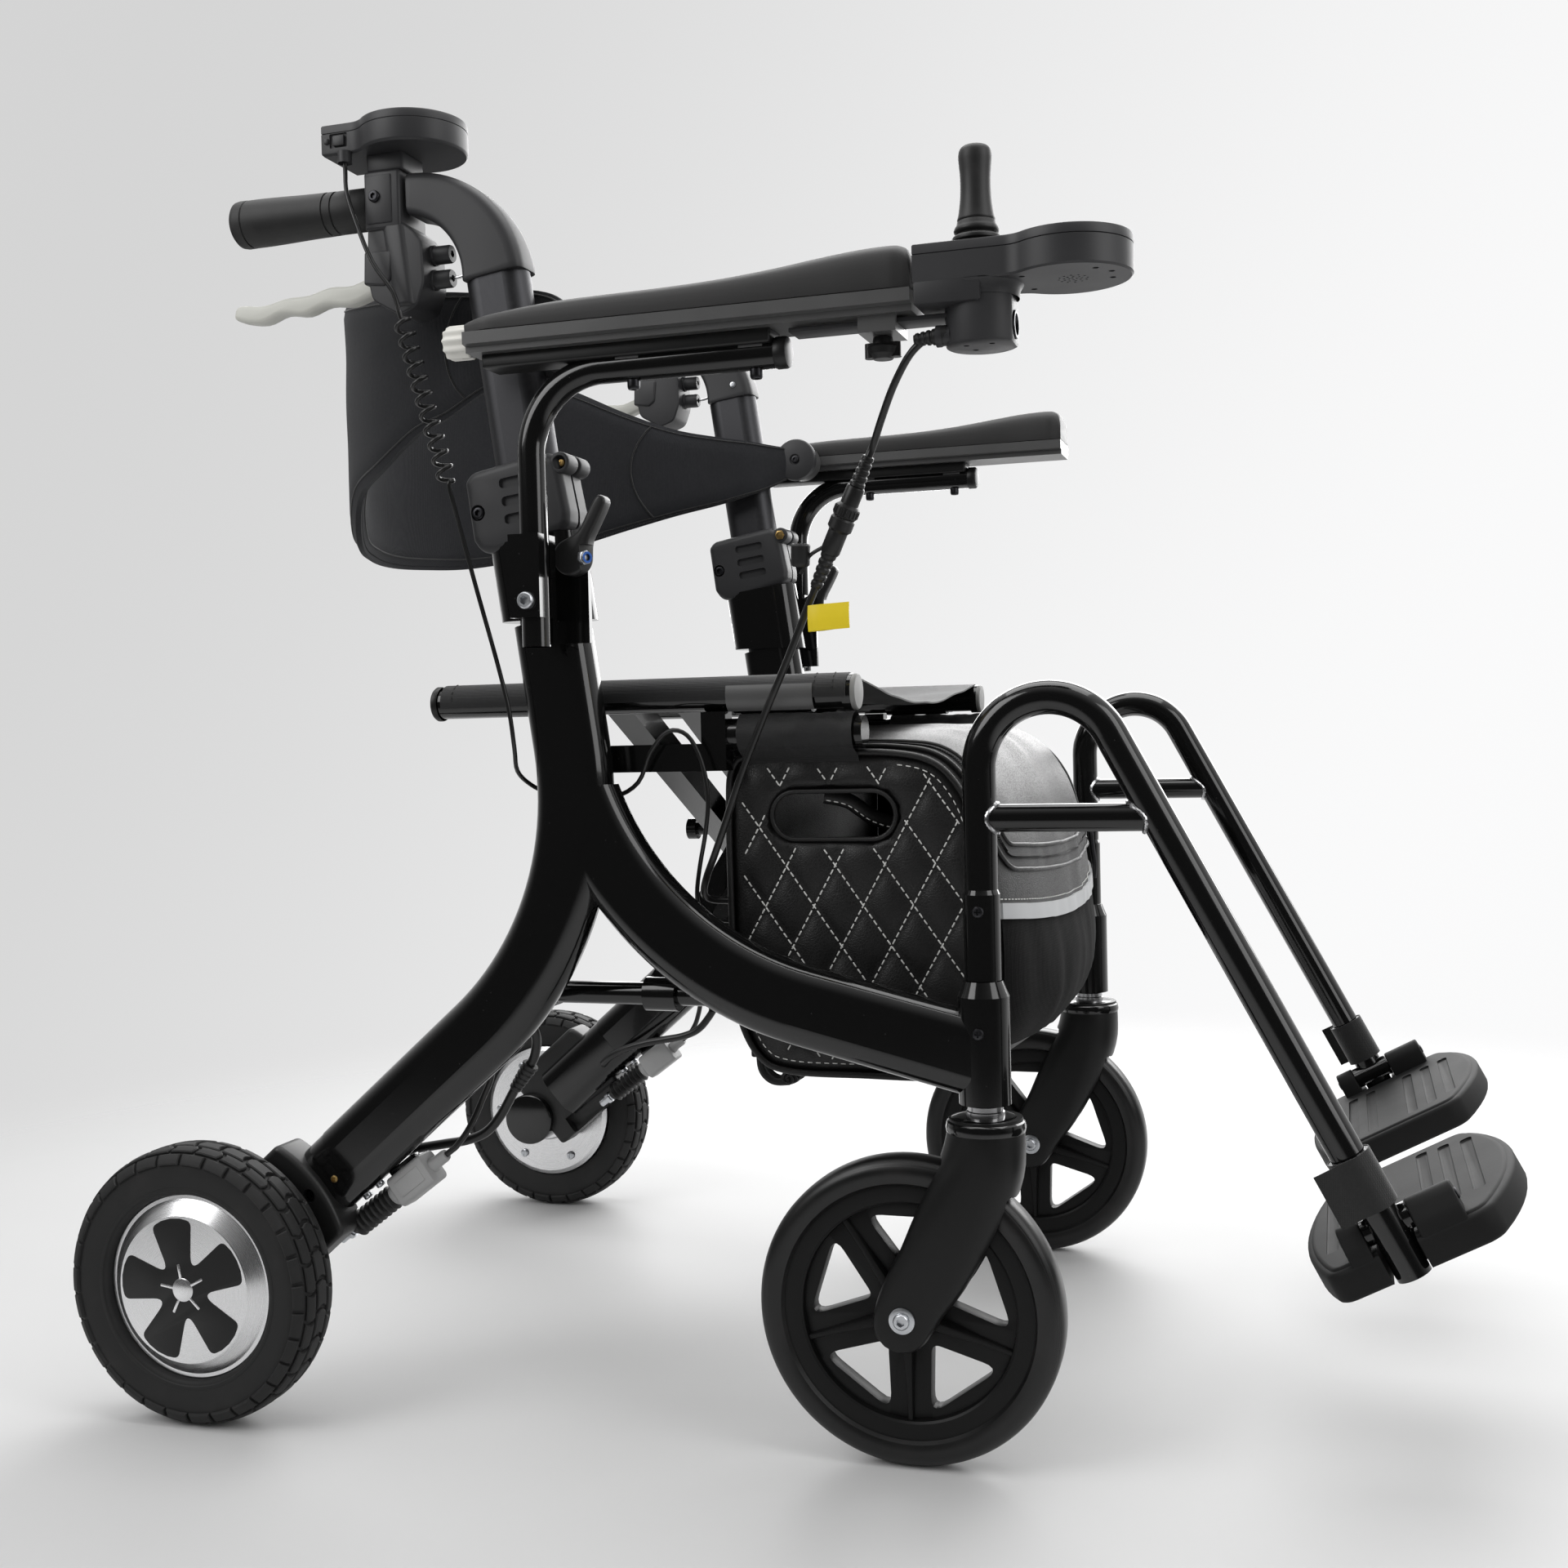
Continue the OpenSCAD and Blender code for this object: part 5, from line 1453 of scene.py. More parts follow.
def sling():
    """Cloth over both seat rails, slack between them and deeper at its front hem."""

    def ring(x, lift):
        front = step(x, SLING_X1 - 70, SLING_X1)
        r = 12.2 + lift
        points = over_rail(x, r, [-14 + 13 * k for k in range(9)])
        for k in range(49):
            t = k / 48
            y = -RAIL_Y + 2 * RAIL_Y * t
            slack = (16 + 3 * front) * (1 - abs(2 * t - 1) ** (3.2 - 1.7 * front))
            slack += noise.noise(Vector((x / 70, y / 45, 2.2))) * 2.4 * math.sin(math.pi * t)
            points.append((x, y, SEAT_Z + r - slack))
        left = over_rail(x, r, [90 - 13 * k for k in range(9)])
        return points + [(x, -y, z) for x, y, z in left]

    xs = [SLING_X0 + (SLING_X1 - SLING_X0) * k / 40 for k in range(41)]
    return loft([ring(x, 1.2) + ring(x, 0)[::-1] for x in xs])


def between_rails(made):
    """Bakes the cloth's placement into its mesh."""
    spot(0, -RAIL_Y, SEAT_Z)
    spot(0, RAIL_Y, SEAT_Z)
    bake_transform(made)


seat = piece("seat_cloth", sling(), SEAT_CLOTH, None, 50, ("seat_sling",))
between_rails(seat)
hem = Shape()
for x in (SLING_X0 + 9, SLING_X1 - 9, SLING_X1 - 22):
    hem.add(stitches(over_rail(x, 13.7, range(0, 92, 4)), 3, 2, 0.4))
between_rails(piece("seat_stitches", hem, HOOK_TAPE, None))

# Clips and end caps of the seat rails

clip_turns = [28 - 5.5 * k for k in range(16)]
clip = loft([over_rail(x, 13.9, clip_turns) + over_rail(x, 13.5, clip_turns[::-1]) for x in (385, 447)])
front_cap = lathe([(12.1, -3), (12.4, -2), (12.4, 2.4), (11.6, 3.4), (4, 3.9), (0, 3.9)], 48)
rear_plug = lathe([(12.1, -4), (12.6, -3), (12.6, -0.4), (11.6, 1), (8, 1.6), (0, 1.7)], 48)
rail_fittings = (
    ("seat_clip", clip, CLIP),
    ("rail_cap", front_cap.moved(aim((472.9, -RAIL_Y, SEAT_Z), (1, 0, 0))), RAIL_CAP),
    ("rail_plug", rear_plug.moved(aim((158.1, -RAIL_Y, SEAT_Z), (-1, 0, 0))), DARK_PLASTIC),
)
for side, brace in (("right", "brace_b"), ("left", "brace_a")):
    for name, shape, finish in rail_fittings:
        piece(f"{side}_{name}", on_side(shape, side), finish, brace)

# Backrest band

BACK_ANCHOR = -250.0
# Stations round the band as (x, y, lower edge, upper edge, thickness), from the right arm to the left one
BAND = [
    (300, -256, 733, 757, 5), (288, -250, 731, 776, 5), (272, -237, 732, 791, 5), (250, -222, 736, 801, 6),
    (225, -218, 738, 804, 7), (202, -214, 735, 806, 8), (169, -208, 720, 811, 9), (140, -201, 711, 814, 11),
    (95, -177, 690, 821, 12), (55, -142, 676, 830, 13), (25, -96, 645, 843, 13), (8, -48, 638, 849, 13),
    (2, 0, 636, 850, 13), (8, 48, 638, 848, 13), (25, 96, 642, 841, 13), (55, 142, 652, 829, 13),
    (95, 177, 666, 814, 12), (140, 201, 682, 793, 11), (185, 212, 694, 776, 9), (225, 217, 702, 767, 7),
    (252, 221, 709, 762, 6), (270, 235, 717, 759, 5), (286, 249, 727, 757, 5), (300, 256, 733, 757, 5)
]
band_path = curve([(x, y, 0) for x, y, *_ in BAND], 6)
band_rims = curve([(low, high, thick) for *_, low, high, thick in BAND], 6)
band_sides = [u.cross(Vector((0, 0, 1))).normalized() for u, *_ in frames_along(band_path)]


def on_band(place, rise, lift):
    """A point on the band: place along it, rise from bottom edge to top, lift out of its mid surface."""
    i = min(int(place), len(band_path) - 2)
    t = place - i
    p = band_path[i].lerp(band_path[i + 1], t)
    low, high, _ = band_rims[i].lerp(band_rims[i + 1], t)
    out = band_sides[i].lerp(band_sides[i + 1], t)
    z = low + (high - low) * rise
    sway = noise.noise(Vector((p.x / 60, p.y / 60, z / 55))) * 1.6 * min(1, (high - low) / 120)
    q = p + out * (lift + sway)
    return Vector((q.x, q.y, z))


def band_lift(i, rise):
    """How far the band's faces stand from its mid surface at a station: thin at the edges, full inside."""
    low, high, thick = band_rims[i]
    return thick / 2 * (0.32 + 0.68 * step(min(rise, 1 - rise) * (high - low), 0, 16) ** 0.5)


def band():
    """The padded band: its outer face up, its inner face down, at every station."""
    count = 26
    rises = [k / (count - 1) for k in range(count)]
    rings = []
    for i in range(len(band_path)):
        ring = [on_band(i, rise, band_lift(i, rise)) for rise in rises]
        rings.append(ring + [on_band(i, 1 - rise, -band_lift(i, 1 - rise)) for rise in rises])
    return loft(rings)


def back_piece(name, shape, finish, crease=35, stands_for=()):
    """A piece of the backrest, on the back's body, with a mesh of its own."""
    return flatten(piece(name, shape, finish, "back", crease, stands_for), BACK_ANCHOR)


back_piece("back_band", band(), BACK_CLOTH, 60, ("backrest",))
BAND_END = len(band_path) - 1


def band_seam(places, radius):
    """A seam along (place, rise) points, on both faces of the band."""
    shape = Shape()
    for way in (1, -1):
        line = [on_band(place, rise, way * (band_lift(int(place), rise) + 0.25)) for place, rise in places]
        shape.add(tube(line, radius, 6))
    return shape


def seams():
    """Seams along both edges and a bowed one across each wing."""
    shape = Shape()
    for rise in (0.045, 0.955):
        shape.add(band_seam([(BAND_END * k / 240, rise) for k in range(6, 235)], 0.6))
    for first, bow in ((33, 2.6), (BAND_END - 33, -2.6)):
        across = [(first + bow * math.sin(math.pi * k / 30), 0.05 + 0.9 * k / 30) for k in range(31)]
        shape.add(band_seam(across, 0.9))
    return shape


def overlock():
    """Zigzag thread round the lower edge."""
    line = []
    for k in range(8 * BAND_END):
        place = k / 8
        rise = 0.012 if k % 2 else 0.03
        line.append(on_band(min(place, BAND_END - 0.01), rise, band_rims[int(place)].z * 0.24))
    return tube(line, 0.35, 4)


back_piece("back_seams", seams(), HOOK_TAPE)
back_piece("back_overlock", overlock(), HOOK_TAPE)

# Round buttons that hold the band's ends on the arms

button = lathe([
    (0, -1), (17, -1), (19, 0), (19.8, 1), (19.8, 5), (19, 6.6), (17.4, 7.4), (5.2, 7.6), (4.6, 6.2), (0, 6.2)
], 56)
button_seat = aim((294, -253, 745), (0, 1, 0))
buttons = (("back_button", button, PLASTIC), ("button_screw", socket_screw(7, 2).at(0, 0, 6.2), BLACK_SCREW))
for side in SIDES:
    for name, shape, finish in buttons:
        back_piece(f"{side}_{name}", on_side(shape.moved(button_seat), side), finish)

# Armrest pads

ARM_Y = 301.0
PAD_Z = 751.15


def pad():
    """A moulded pad: thin at the back, rising to a rounded front."""
    tops = curve([
        (243, 0, 6), (247, 0, 8.4), (262, 0, 11.4), (290, 0, 14.6), (320, 0, 16.4), (380, 0, 17.4),
        (420, 0, 19), (455, 0, 22), (485, 0, 25.6), (510, 0, 28), (530, 0, 28.6), (538, 0, 27),
        (541.6, 0, 23), (542.9, 0, 16)
    ], 5)
    rings = []
    for p in tops:
        rear, front = step(p.x, 243, 262), 1 - step(p.x, 531, 543.5)
        half = 25 * (0.86 + 0.14 * rear) * (0.9 + 0.1 * front)
        ring = []
        for k in range(29):
            a = math.pi * k / 28
            c, s = math.cos(a), math.sin(a)
            y = math.copysign(abs(c) ** 0.42, c) * half
            ring.append((p.x, y, PAD_Z + 4.4 + (p.z - 4.4) * s**0.5))
        ring.append((p.x, -half * 0.985, PAD_Z + 0.6))
        ring.append((p.x, half * 0.985, PAD_Z + 0.6))
        rings.append(ring)
    return loft(rings).at(0, -ARM_Y, 0)


for made in pair("armrest", pad(), PAD, "arm", 55, "arm_pad").values():
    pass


# Push handles

GRIP_Z = 864.0


def elbow():
    """A flat sided bend that tapers from the brake housing down to the post."""
    middle = Vector((170.85, 796.5))
    hollow, hollow_r = middle + Vector((-8, 9)), 48.0
    rings = []
    for k in range(25):
        a = math.radians(91 - 83 * k / 24)
        way = Vector((math.cos(a), math.sin(a)))
        rel = middle - hollow
        b = rel.dot(way)
        inner = -b + math.sqrt(b * b - rel.length_squared + hollow_r**2)
        outer = 86.0
        mid, half = (inner + outer) / 2, (outer - inner) / 2
        corner = rounded([(-half, -16), (half, -16), (half, 16), (-half, 16)], [5, 9, 9, 5], 5)
        rings.append(
            [(middle.x + way.x * (mid + u), -FRAME_Y + v, middle.y + way.y * (mid + u)) for u, v in corner]
        )
    return soften(loft(rings), 1.4, 60, 2)


def grip():
    """A flared grip with two grooves near the brake and one near its end."""
    collar = [
        (0, 0), (14.4, 0), (14.9, 0.6), (15.0, 27.2), (14.3, 27.6), (14.3, 28.6), (15.1, 29), (15.2, 34.2),
        (14.5, 34.6), (14.5, 35.6), (15.3, 36)
    ]
    flare = [(15.3 + 1.5 * step(h, 36, 96), h) for h in range(40, 100, 4)]
    end = [
        (16.8, 100.4), (16.1, 100.8), (16.1, 101.6), (16.9, 102), (17, 107), (16.4, 110), (14.6, 111.6),
        (9, 112), (0, 112)
    ]
    return lathe(collar + flare + end, 64).moved(aim((137, -FRAME_Y, GRIP_Z), (-1, 0, 0)))


def brake_housing():
    """The clamp on the handle bar over the lever's pivot housing, with its two cable barrels."""
    shape = soften(box((139, -19, 843), (167, 19, 884)), 2.2, 40, 3)
    shape.add(soften(box((140.5, -20, 847), (161, -17, 881)), 1.2, 40, 2))
    lower = rounded([
        (140, 848), (166, 848), (176, 840), (182, 832), (183, 804), (177, 788), (163, 783), (142, 795),
        (138.5, 812)
    ], [2, 3, 8, 8, 14, 10, 8, 10, 10], 5)
    shape.add(soften(slab(lower, -17, 17), 5.5, 40, 4))
    cover = rounded([(136.5, 806), (152, 804), (158, 808), (160, 828), (137.5, 829)], [2, 3, 6, 2, 2], 4)
    shape.add(soften(slab(cover, -18.6, 18.6), 1.6, 40, 3))
    ridge = loft([[(150, -16, 846), (170, -16, 846), (166, -19, 846), (156, -19, 846)],
                  [(158, -16, 788), (176, -16, 788), (173, -19.5, 790), (165, -19.5, 790)]])
    shape.add(soften(ridge, 1.5, 30, 3))
    barrel = lathe([
        (0, 178), (7.2, 178), (7.2, 184), (6.4, 184.6), (6.4, 195.4), (5.8, 197), (2.4, 197), (2.4, 192),
        (0, 192)
    ], 28)
    for z in (826, 809):
        shape.add(barrel.moved(aim((0, 0, z), (1, 0, 0))))
    return shape.at(0, -FRAME_Y, 0)


def brake_lever():
    """A lever with finger waves and a round pivot."""
    outline = [
        (152, 818), (138, 816.5), (120, 810.5), (102, 811), (84, 807), (66, 806.6), (46, 803), (27, 804.6),
        (22, 800), (24, 794), (44, 790.5), (62, 795.5), (80, 793.5), (98, 798.5), (118, 797), (138, 802.5),
        (152, 802)
    ]
    outline = [(p.x, p.z) for p in curve([(x, 0, z) for x, z in outline], 4, True)]
    shape = soften(slab(outline, -7, 7), 3.6, 50, 4)
    shape.add(lathe([(8.4, -7.4), (8.4, 7.4)], 32).moved(aim((150, 0, 810), OUT)))
    return shape.at(0, -FRAME_Y, 0)


pair("elbow_moulding", elbow(), PLASTIC, "handle", 40, "elbow")
pair("hand_grip", grip(), GRIP, "handle", 40, "grip")
pair("brake_body", brake_housing(), PLASTIC, "handle", 40, "brake_housing")
pair("brake_handle", brake_lever(), LEVER_PAINT, "brake", 40, "brake_lever")
fasten("elbow_screws", [(cross_screw(6, 1.6), (238, -FRAME_Y + 15.8, 818), (0, 1, 0))], ZINC, "handle")
fasten(
    "brake_clamp_screws", [(socket_screw(8.4, 2.4), (148, -FRAME_Y - 19.6, 866), OUT)], BLACK_SCREW, "handle"
)
cable_route = [(x, -FRAME_Y, z) for x, z in ((196, 809), (203, 809.6), (210, 812), (216, 817))]
cable = tube(curve(cable_route, 5), 1.1, 10)
pair("brake_cable", cable, STEEL, "handle")


# Controllers


def pear_outline(x0, half, x1, r):
    """A round end on a narrower tail, with a hollow curve between."""
    fillet = 18.0
    cx = x1 - math.sqrt((r + fillet) ** 2 - (half + fillet) ** 2)
    top = Vector((cx, half + fillet))
    meet = top + (Vector((x1, 0)) - top).normalized() * fillet
    first = math.atan2(meet.y - top.y, meet.x - top.x)
    upper_side = [(x0, half)]
    for k in range(9):
        a = -math.pi / 2 + (first + math.pi / 2) * k / 8
        upper_side.append((top.x + fillet * math.cos(a), top.y + fillet * math.sin(a)))
    start = math.atan2(meet.y, meet.x - x1)
    for k in range(1, 25):
        a = start - start * k / 24
        upper_side.append((x1 + r * math.cos(a), r * math.sin(a)))
    return upper_side + [(x, -y) for x, y in upper_side[-2::-1]]


def inset_ring(outline, amount):
    """The outline moved inward by amount."""
    n = len(outline)
    made = []
    for i in range(n):
        a, b, c = (Vector(outline[j % n]) for j in (i - 1, i, i + 1))
        u, v = (b - a).normalized(), (c - b).normalized()
        normal = Vector((u.y + v.y, -u.x - v.x))
        normal = normal / max(0.35, normal.length_squared / 2) if normal.length else Vector((0, 0))
        made.append(b - normal * (amount if normal.length else 0))
    return made


def moulded_box(outline, levels):
    """Rings of the outline at (height, inset) levels."""
    winding = sum((b[0] - a[0]) * (b[1] + a[1]) for a, b in zip(outline, outline[1:] + outline[:1]))
    turned = outline if winding < 0 else outline[::-1]
    return loft([[(p[0], p[1], z) for p in inset_ring(turned, inset)] for z, inset in levels])


def holes(places, radius, z):
    return [lathe([(0, -1), (radius, -1), (radius, 4), (0, 4)], 16).at(x, y, z) for x, y in places]


STICK_X, STICK_Z = 580.0, 765.0
POD_X = 582.5
PORT_AT = (602.5, -ARM_Y, 728)


def joystick_box():
    """A pear shaped box with a parted lid, on a round pod with the charging port and the cord's gland."""
    outline = pear_outline(545, 25, 636, 38)
    low = moulded_box(outline, [(752, 1.2), (753.2, 0), (769.2, 0), (769.6, 0.5)])
    lid = moulded_box(outline, [(769.6, 0.5), (770, 0), (774.6, 0), (775.6, 0.5), (776, 1.6)])
    tools = holes([(654, -20), (662, -9), (661, 6), (610, -17), (612, 16)], 1.9, 752)
    for r, count in ((2.2, 4), (5.4, 9), (8.6, 12)):
        ring = [around(r, math.tau * k / count) for k in range(count)]
        tools += holes([(638 + x, y) for x, y in ring], 0.75, 752)
    low = cut(low, *tools)
    well = lathe([(0, 754), (21.5, 754), (21.5, 790), (0, 790)], 48).at(STICK_X, 0, 0)
    tail = soften(box((545.3, -24.9, 739.5), (586, 24.9, 762)), 1.4, 40, 2)
    flat = [around(22.5, math.radians(27.3 + 305.4 * k / 48)) for k in range(49)]
    foot = [(POD_X + x, y) for x, y in flat]
    pod = moulded_box(foot, [(716, 1.6), (716.6, 0.5), (718, 0), (756, 0)])
    pod = cut(
        pod, lathe([(0, 0), (7.5, 0), (7.5, 30), (0, 30)], 32).moved(aim((592, 0, 728), (1, 0, 0))),
        *holes([(574, -8), (590, -9), (577, 6)], 1.8, 716)
    )
    shape = Shape().add(cut(low, well), cut(lid, well), tail, pod)
    # Neck between the pod and the underside of the box
    shape.add(lathe([(23, 744), (23.6, 749), (26, 752.4)], 48).at(POD_X, 0, 0))
    shape.add(soften(box((462, -11, 733.7), (582, 11, 736.6)), 0.6, 40, 2))
    gland_seat = lathe([(0, 0), (6.6, 0), (6.6, 3), (6, 4), (6, 9), (0, 9)], 28)
    shape.add(gland_seat.moved(aim((556, -9, 723), (1, 0, 0))))
    return shape.at(0, -ARM_Y, 0)


def joystick_lever():
    """A pleated boot that runs up into a waisted grip."""
    boot = [
        (15, 9.5), (15.6, 10.6), (15.4, 12.2), (13.8, 13.4), (13.2, 14.4), (14.9, 15.2), (15.2, 16.6),
        (14.4, 17.8), (12.4, 18.8), (12, 19.6), (13.6, 20.4), (13.9, 21.6), (13.2, 23.4), (12, 25),
        (11.9, 26.6), (11.2, 27.2), (11.7, 28)
    ]
    waist = [
        (11.7, 28), (10.6, 33), (9.6, 41), (9.3, 48), (9.4, 55), (9.9, 61), (10.25, 66), (9.6, 70),
        (7.4, 72.4), (4, 73), (0, 73)
    ]
    knob = [(max(0, p.x), p.z) for p in curve([(r, 0, h) for r, h in waist], 4)]
    return lathe([(0, 8.5), *boot, *knob[1:]], 56).at(STICK_X, -ARM_Y, STICK_Z)


piece("joystick_case", joystick_box(), PLASTIC, "joystick", 35, ("joystick_box",))
piece("joystick_stick", joystick_lever(), BOOT, "stick", 50, ("joystick_lever",))
socket_ring = lathe(
    [(7.6, -0.4), (8.6, -0.4), (8.8, 0.6), (8.2, 1.2), (6.6, 1.2), (6.2, 0.4), (6.2, -9), (0, -9)], 40
)
piece("charging_ring", socket_ring.moved(aim(PORT_AT, (1, 0, 0))), BLACK_SCREW, "joystick")
pin = lathe([(0.9, -9), (0.9, -3), (0.5, -2.4), (0, -2.4)], 10)
pins = Shape().add(*(pin.at(*around(3.2, math.tau * k / 3 + 0.5), 0) for k in range(3)))
piece("charging_pins", pins.moved(aim(PORT_AT, (1, 0, 0))), STEEL, "joystick")


def rear_controller():
    """A pear shaped box with a recessed switch on its side."""
    outline = pear_outline(109, 23, 169, 38)
    shape = moulded_box(outline, [(897, 1.4), (898.2, 0.2), (899, 0), (912.2, 0), (912.6, 0.45)])
    recess = box((115.5, -26, 902), (129.5, -21.6, 912))
    shape = cut(shape, soften(recess, 0.8, 40, 2))
    shape.add(moulded_box(outline, [(912.6, 0.45), (913, 0), (917.4, 0), (918.5, 0.6), (919, 1.8)]))
    shape.add(soften(box((118, -23.6, 903.4), (127, -21, 910.6)), 0.7, 40, 2))
    shape.add(soften(box((111.6, -24.6, 905), (115, -22, 909)), 0.8, 40, 2))
    shape.add(soften(box((139, -15, 884.2), (168, 15, 898)), 2, 40, 3))
    shape.add(lathe([(5, 890), (5, 898)], 20).at(128, -24, 0))
    return shape.at(0, -FRAME_Y, 0)


piece(
    "rear_control_case", rear_controller(), PLASTIC, "right_handle", 35, ("rear_controller",)
)

# Footplates

LEG_TILT = math.radians(28)
LEG_END = Vector((825.33, -FRAME_Y, 147.0))
UP_TUBE = Vector((-math.sin(LEG_TILT), 0, math.cos(LEG_TILT)))
HINGE = LEG_END + UP_TUBE * 33 + Vector((0, 4.2, 0))
plate_turn = Matrix.Translation(HINGE) @ Matrix.Rotation(-LEG_TILT, 4, "Y")
KNUCKLES = ((-30, -15.5), (15.5, 45))


def tread_plan():
    """The tread's plan: straight sides, bowed nose and heel, round corners."""
    middle, half = 88.5, 102.5
    across = [-half, *(82 * (k / 6 - 1) for k in range(13)), half]
    nose = [(83 - 220 + math.sqrt(220**2 - v * v), middle + v) for v in across]
    heel = [(-62 + 320 - math.sqrt(320**2 - v * v), middle + v) for v in across[::-1]]
    return rounded(nose + heel, ([26] + [0] * 13 + [26]) * 2, 9)


def footplate():
    """A hollow grooved tread with two knuckles for its hinge pin."""
    plan = tread_plan()
    shape = moulded_box(plan, [
        (-31.3, 2.4), (-30.4, 0.9), (-28.6, 0), (-14.4, 0), (-13, 0.5), (-12.1, 1.5), (-11.7, 2.8),
        (-11.5, 4.2), (-10.6, 4.8), (-10.1, 5.8), (-10, 7.4)
    ])
    under = cut(moulded_box(plan, [(-45, 5), (-15, 7)]), box((-19.5, -40, -50), (19.5, 14, 0)))
    tools = [under, soften(box((-12.4, -40, -45), (12.4, 9.5, 5)), 1.5, 40, 2)]
    for x in (-42, -24, -8, 25, 41, 57):
        far = 177 - (x - 8) ** 2 / 160
        groove = rounded([(x - 4.2, 29), (x + 4.2, 29), (x + 4.2, far), (x - 4.2, far)], 3.6, 4)
        tools.append(moulded_box(groove, [(-11.6, 1.3), (-11.3, 0.4), (-10.8, 0), (-8, 0)]))
    shape = cut(shape, *tools)
    # Walls that carry the hinge pin, sloping to the plate's outer edge
    wall = [(9.4, -16), (9.4, 0)]
    wall += [around(9.4, math.radians(15 * k)) for k in range(1, 11)]
    wall += [(-11.4, -2.4), (-13.4, -6), (-13.6, -16)]
    for x0, x1 in KNUCKLES:
        shape.add(soften(loft([[(x, y, z) for y, z in wall] for x in (x0, x1)]), 1.3, 40, 3))
    return shape.moved(plate_turn)


pair("foot_tread", footplate(), PLATE_PLASTIC, "plate", 35, "footplate")
pin_end = lathe([(3.6, -0.5), (3.6, 0.7), (2.8, 1.2), (0, 1.3)], 24)
fasten("plate_pins", [
    (pin_end, plate_turn @ Vector((x, 0, 0)), plate_turn.to_3x3() @ Vector((way, 0, 0)))
    for x, way in ((KNUCKLES[0][0], -1), (KNUCKLES[1][1], 1))
], BLACK_SCREW, "plate")

# Armrest height levers

CAM = Vector((298, -281.2, 605))
NUT_WAY = Vector((0.9, -0.44, 0)).normalized()


def cam_lever():
    """A round cam with a curved thumb lever, cut flat where its nut sits."""
    outline = [around(12.5, math.radians(112 + 15.5 * k)) for k in range(17)]
    outline += [(13.4, 10), (18.6, 20), (25, 32), (26, 37), (23, 40), (19, 38.4), (12.6, 28), (6, 17)]
    outline = [(p.x, p.z) for p in curve([(x, 0, z) for x, z in outline], 3, True)]
    shape = soften(slab(outline, -6.5, 6.5), 2.4, 50, 4)
    flat = box((9.5, -30, -20), (40, 30, 8)).moved(Matrix.Rotation(math.atan2(NUT_WAY.y, NUT_WAY.x), 4, "Z"))
    return cut(shape, flat).moved(Matrix.Translation(CAM))


pair("cam_handle", cam_lever(), LEVER_PLASTIC, "cam", 40, "cam_lever")
seat_of_nut = CAM + NUT_WAY * 9.5 + Vector((0, 0, -1))
pair("cam_nut", lock_nut(9, 5).moved(aim(seat_of_nut, NUT_WAY, 0.3)), ZINC, "cam")
insert = lathe([(2.4, 4.2), (3.9, 4.2), (3.9, 5.3), (2.4, 5.3)], 24).moved(aim(seat_of_nut, NUT_WAY))
pair("cam_nut_insert", insert, BLUE_NYLON, "cam")


# Rear wheel mounts and brakes

LEG_SLOPE = math.radians(41)
brake_turn = Matrix.Translation((92, 8 - FRAME_Y, 129)) @ Matrix.Rotation(math.radians(53), 4, "Y")


def on_leg(along, across, y=0.0):
    """A point by the rear leg: along it from the axle, across to its upper edge, y from its mid plane."""
    c, s = math.cos(LEG_SLOPE), math.sin(LEG_SLOPE)
    return Vector((along * c - across * s, y - FRAME_Y, REAR_R + along * s + across * c))


def oval(width, thick):
    """A flat sided oval as (u, v) points."""
    flat, r = (width - thick) / 2, thick / 2
    ends = [around(r, math.radians(-90 + 15 * k)) for k in range(13)]
    half = [(flat + u, v) for u, v in ends]
    return half + [(-u, -v) for u, v in half]


def wheel_cover():
    """A crescent cover over the tyre's front, with room for the brake's bellows."""
    reach, half = 104.0, 41.0
    turn = math.asin(half / reach)
    outline = [around(reach, LEG_SLOPE + turn * (k / 10 - 1)) for k in range(21)]
    for across in (half, -half):
        low = on_leg(8, across)
        outline.append((low.x, low.z - REAR_R))
    shape = soften(slab(outline, -24, 8), 7, 40, 5)
    recess = lathe([(0, 0), (4.6, 0), (5, 1), (5, 20), (0, 20)], 32).moved(aim((72, -17.5, 58), OUT))
    room = lathe([(0, -60), (10.5, -60), (10.5, 80), (0, 80)], 40).moved(brake_turn)
    return cut(shape, recess, room.at(0, FRAME_Y, -REAR_R)).at(0, -FRAME_Y, REAR_R)


def leg_insert():
    """The oval stub in the leg's end, with the boss and axle of the wheel."""
    axle = aim((0, -FRAME_Y, REAR_R), OUT)
    boss = soften(lathe([(0, -15), (25, -15), (25, 15), (0, 15)], 64), 1.5, 40, 3)
    shape = loft([[on_leg(along, u, v) for u, v in oval(54, 33)] for along in (40, 121.6)])
    return shape.add(boss.moved(axle), lathe([(6, 10), (6, 25.5)], 32).moved(axle))


def bellows():
    """A ribbed rubber sleeve between the brake's stub and its block."""
    profile = [(0, -3), (4.6, -3), (5.6, -2), (6.3, 0)]
    for k in range(8):
        profile += [
            (r, 5 * k + h) for r, h in ((6.4, 0.4), (7.8, 1.2), (9.2, 2), (9.5, 2.5), (9.2, 3), (7.8, 3.8))
        ]
    return lathe(profile + [(6.4, 39.8), (6.2, 41), (0, 41)], 40)


